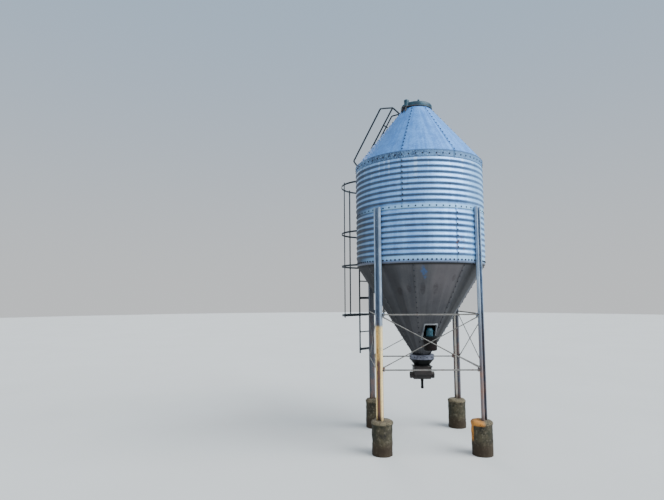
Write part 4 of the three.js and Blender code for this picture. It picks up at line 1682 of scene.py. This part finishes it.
def ladderShapes():
    v = ladderValues
    shapes = []
    sides = (-v["halfWidth"], v["halfWidth"])
    for x in sides:
        ends = [ladderSpot(x, v["radius"], wallBottom + v[end]) for end in ("bottom", "top")]
        shapes.append(tube(ends, v["stile"], 20))
    weld = [(0.016, 0), (0.0155, 0.003), (0.0125, 0.006), (0.011, 0.007)]
    for i in range(v["rungs"]):
        z = rungHeight(i)
        shapes.append(tube([ladderSpot(x, v["radius"], z) for x in sides], v["rung"], 14))
        for side in (-1, 1):
            seam = ladderSpot(side * (v["halfWidth"] - v["stile"] + 0.003), v["radius"], z)
            shapes.append(lathe(weld, seam, ladderAcross * -side, 14))
    for rung in v["bracketRungs"]:
        z = rungHeight(rung)
        carrier, strap = carrierAt(z), v["radius"] - v["stile"] + 0.004
        shapes.append(ladderBox(strap, z, v["strap"]))
        shapes.append(ladderBox(carrier + (strap - carrier) / 2, z, (*v["arm"], strap - carrier)))
        shapes.append(ladderBox(carrier + 0.0035, z, v["plate"]))
    return shapes


makePiece("ladder_frame", ladderShapes(), darkSteel, replaces=["wall_ladder"], bevel=0.001)
places = []
for rung in ladderValues["bracketRungs"]:
    z = rungHeight(rung)
    for x in (-ladderValues["boltAcross"], ladderValues["boltAcross"]):
        places.append((ladderSpot(x, carrierAt(z) + 0.0065, z), ladderOut))
boltPiece("ladder_bolts", places, ladderValues["boltScale"])

cageValues = {
    "centre": 1.042,
    "radius": 0.570,
    "hoops": (1.543, 0.654, 0.054),
    "lowHoop": -0.840,
    "meets": 1.069,         # the wall's radius where the hoops end
    "bar": 0.032,
    "sheet": 0.006,
    "straps": (-70, 0, 70),
    "strapEnd": 0.02,       # past the highest and lowest hoops
    "boltScale": 0.7,
}


def barOutline(radius, z):
    # a flat bar's section with its corners cut
    t, h, c = cageValues["sheet"] / 2, cageValues["bar"] / 2, 0.001
    half = [(t, h - c), (t - c, h), (c - t, h), (-t, h - c)]
    return [(radius - x, z - y) for x, y in half] + [(radius + x, z + y) for x, y in half]


def cageSpot(angle, out, z):
    # a point on the cage, so many degrees round it from the middle strap
    a = math.radians(angle)
    return ladderSpot(out * math.sin(a), cageValues["centre"] + out * math.cos(a), z)


def cageShapes():
    v = cageValues
    centre = ladderSpot(0, v["centre"], 0)
    turn = ladderValues["azimuth"]
    z = wallBottom + v["lowHoop"]
    # a hoop ends where it meets the wall, and the lowest one at a bar across the ladder's outer side
    gapCos = (v["meets"] ** 2 - v["centre"] ** 2 - v["radius"] ** 2) / (2 * v["centre"] * v["radius"])
    meet = math.degrees(math.acos(gapCos))
    barLine = ladderValues["radius"] + ladderValues["stile"] + 0.0035
    wide = math.degrees(math.acos((barLine - v["centre"]) / v["radius"]))
    hoops = [(wallBottom + rise, meet, 72) for rise in v["hoops"]] + [(z, wide, 56)]
    shapes = []
    for height, half, steps in hoops:
        outline = barOutline(v["radius"], height)
        shapes.append(turned(outline, turn - half, turn + half, steps, centre, ring=True))
    reach = v["radius"] * math.sin(math.radians(wide))
    shapes.append(ladderBox(barLine, z, (2 * reach, v["bar"], v["sheet"])))
    high = wallBottom + v["hoops"][0] + v["bar"] / 2 + v["strapEnd"]
    low = z - v["bar"] / 2 - v["strapEnd"]
    for angle in v["straps"]:
        place = cageSpot(angle, v["radius"] + v["sheet"], (high + low) / 2)
        size = (v["bar"], high - low, v["sheet"] * 0.8)
        shapes.append(box(place, sideways(turn + angle), up, outward(turn + angle), size))
    return shapes


makePiece("cage_hoops", cageShapes(), darkSteel, replaces=["ladder_cage"], sharp=30)
places = []
for angle in cageValues["straps"]:
    for rise in (*cageValues["hoops"], cageValues["lowHoop"]):
        point = cageSpot(angle, cageValues["radius"] + cageValues["sheet"] * 1.4, wallBottom + rise)
        places.append((point, outward(ladderValues["azimuth"] + angle)))
boltPiece("cage_bolts", places, cageValues["boltScale"])

railValues = {
    "radius": 0.015,
    "standOff": 0.475,
    "start": 1.000,
    "nearEnd": 0.320,
    "farEnd": 0.256,
    "midRadius": 0.015 * 0.85,
    "midStandOff": 0.395,
    "midStart": 0.760,
    "midEnd": 0.342,
    "bend": 0.03,
    "midBend": 0.05,
    "posts": (0.720, 0.480),
    "post": 0.011,
    "stayFoot": 0.290,
    "stayAcross": 0.04,
}
roofAngle = math.atan(roofValues["slope"])


def overRoof(across, radius, standOff):
    # a point so far off the roof's slope
    out, high = standOff * math.sin(roofAngle), standOff * math.cos(roofAngle)
    return ladderSpot(across, radius + out, roofHeight(radius) + high)


def railShapes():
    v, w = railValues, ladderValues["halfWidth"]
    out, top = ladderValues["radius"], wallBottom + ladderValues["top"]
    foot = [(0.03, 0.001), (0.03, 0.005), (0.013, 0.006)]
    sleeve = [(0.0185, -0.03), (0.0185, 0.03), (0.0155, 0.032)]
    square = outward(ladderValues["azimuth"], roofTilt)

    def rail(across, end):
        start = [ladderSpot(across, out, top), ladderSpot(across, out, top + 0.04)]
        return start + [overRoof(across, v["start"], v["standOff"]), overRoof(across, end, v["standOff"])]

    stay = overRoof(-w + v["stayAcross"], v["stayFoot"], 0.004)
    near = rail(w, v["nearEnd"]) + [overRoof(-w, v["farEnd"], v["standOff"])]
    far = rail(-w, v["farEnd"]) + [stay]
    midTop = overRoof(-w, v["midEnd"], v["midStandOff"])
    bendOut = v["midEnd"] + v["midStandOff"] * math.sin(roofAngle) - 0.25
    mid = [overRoof(-w, v["midStart"], v["midStandOff"]), midTop]
    mid.append(ladderSpot(-w, bendOut + 0.07, midTop.z - 0.012))
    mid.append(ladderSpot(-w, bendOut, roofHeight(math.hypot(bendOut, w)) - 0.004))
    shapes = [tube(rounded(path, v["bend"]), v["radius"], 16) for path in (near, far)]
    shapes.append(tube(rounded(mid, v["midBend"]), v["midRadius"], 16))
    for radius in v["posts"]:
        base = overRoof(-w, radius, 0.002)
        shapes.append(tube([base, overRoof(-w, radius, v["standOff"])], v["post"], 14))
        shapes.append(lathe(foot, base, square, 20))
    shapes.append(lathe(foot, stay, square, 20))
    shapes += [lathe(sleeve, ladderSpot(side * w, out, top), up, 20) for side in (-1, 1)]
    return shapes


makePiece("hand_rails", railShapes(), darkSteel, replaces=["roof_rails"])
print("ladder and rails made")


# Piers: rough cast concrete, worn at their edges

pierValues = {
    "radius": 0.158,
    "crown": {"front_left": 0.168, "front_right": 0.166, "back_right": 0.164, "back_left": 0.163},
    "crownHeight": 0.062,
    "rough": 0.007,
    "pitted": 0.0022,
    "uneven": 0.006,
    "steps": 84,
}


def pierProfile(crown, top):
    # from the middle of the foot, up the side and over the worn edge to the middle of the top
    v = pierValues
    body, under = v["radius"] - 0.002, top - v["crownHeight"]
    made = [(0, 0), (0.08, 0)] + [(body, (under - 0.022) * i / 22) for i in range(23)]
    made += [(body + 0.003, under - 0.010), (crown - 0.004, under)]
    return made + raised([
        (crown, -0.046), (crown - 0.001, -0.036), (crown - 0.007, -0.024), (crown - 0.017, -0.014),
        (crown - 0.030, -0.008), (0.115, -0.005), (0.09, -0.005), (0.06, -0.004), (0.03, -0.004), (0, -0.004),
    ], top)


def pierShape(node, seed, crown):
    v = pierValues
    centre, top = middle(node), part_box(node)[1].z
    points, faces = turned(pierProfile(crown, top), steps=v["steps"], centre=centre)
    moved = []
    for x, y, z in points:
        away = Vector((x - centre.x, y - centre.y, 0))
        where = Vector((away.x, away.y, z)) * 8 + Vector((seed * 7.3, seed * 2.1, 0))
        push = noise.fractal(where, 1.0, 2.0, 4) * v["rough"] + noise.noise(where * 5) * v["pitted"]
        if away.length > 0.001:
            away += away.normalized() * (push - 0.004) * ease(away.length, 0.06, 0.15)
        lift = noise.noise(where * 1.7) * v["uneven"] * (1 - ease(top - z, 0.03, 0.09))
        moved.append((centre.x + away.x, centre.y + away.y, max(z + lift, 0.0) if z > 0.001 else 0.0))
    return moved, faces


for seed, name in enumerate(corners):
    shape = pierShape(f"pier_{name}", seed, pierValues["crown"][name])
    makePiece(f"pier_block_{name}", [shape], pierConcrete, replaces=[f"pier_{name}"], sharp=80)
print("piers made")


# Floor and world

skyValues = {"floorRadius": 60, "low": "f0f3f5", "high": "c3dcf5", "glow": "ffffff", "strength": 0.8}
bpy.ops.mesh.primitive_circle_add(
    vertices=96, radius=skyValues["floorRadius"], fill_type="NGON", location=(0, 0, 0))
floor = bpy.context.object
floor.name = "floor"
floor.data.materials.append(floorPaint)

world = bpy.data.worlds.new("softSky")
world.use_nodes = True
world.node_tree.nodes.clear()
sky = Wire(world.node_tree)
direction = sky.node("ShaderNodeTexCoord", output="Generated")
skyColour = tint(span(part(direction, 2), -0.05, 0.6), skyValues["low"], skyValues["high"])
brighter = part(direction, 0) * 0.55 - part(direction, 1) * 0.83     # towards the right of the front
skyColour = tint(span(brighter, -0.3, 1.0), skyColour, skyValues["glow"], "SCREEN")
background = sky.node("ShaderNodeBackground", None, {"Color": skyColour, "Strength": skyValues["strength"]})
sky.node("ShaderNodeOutputWorld", None, {"Surface": background})
bpy.context.scene.world = world

print("scene ready")
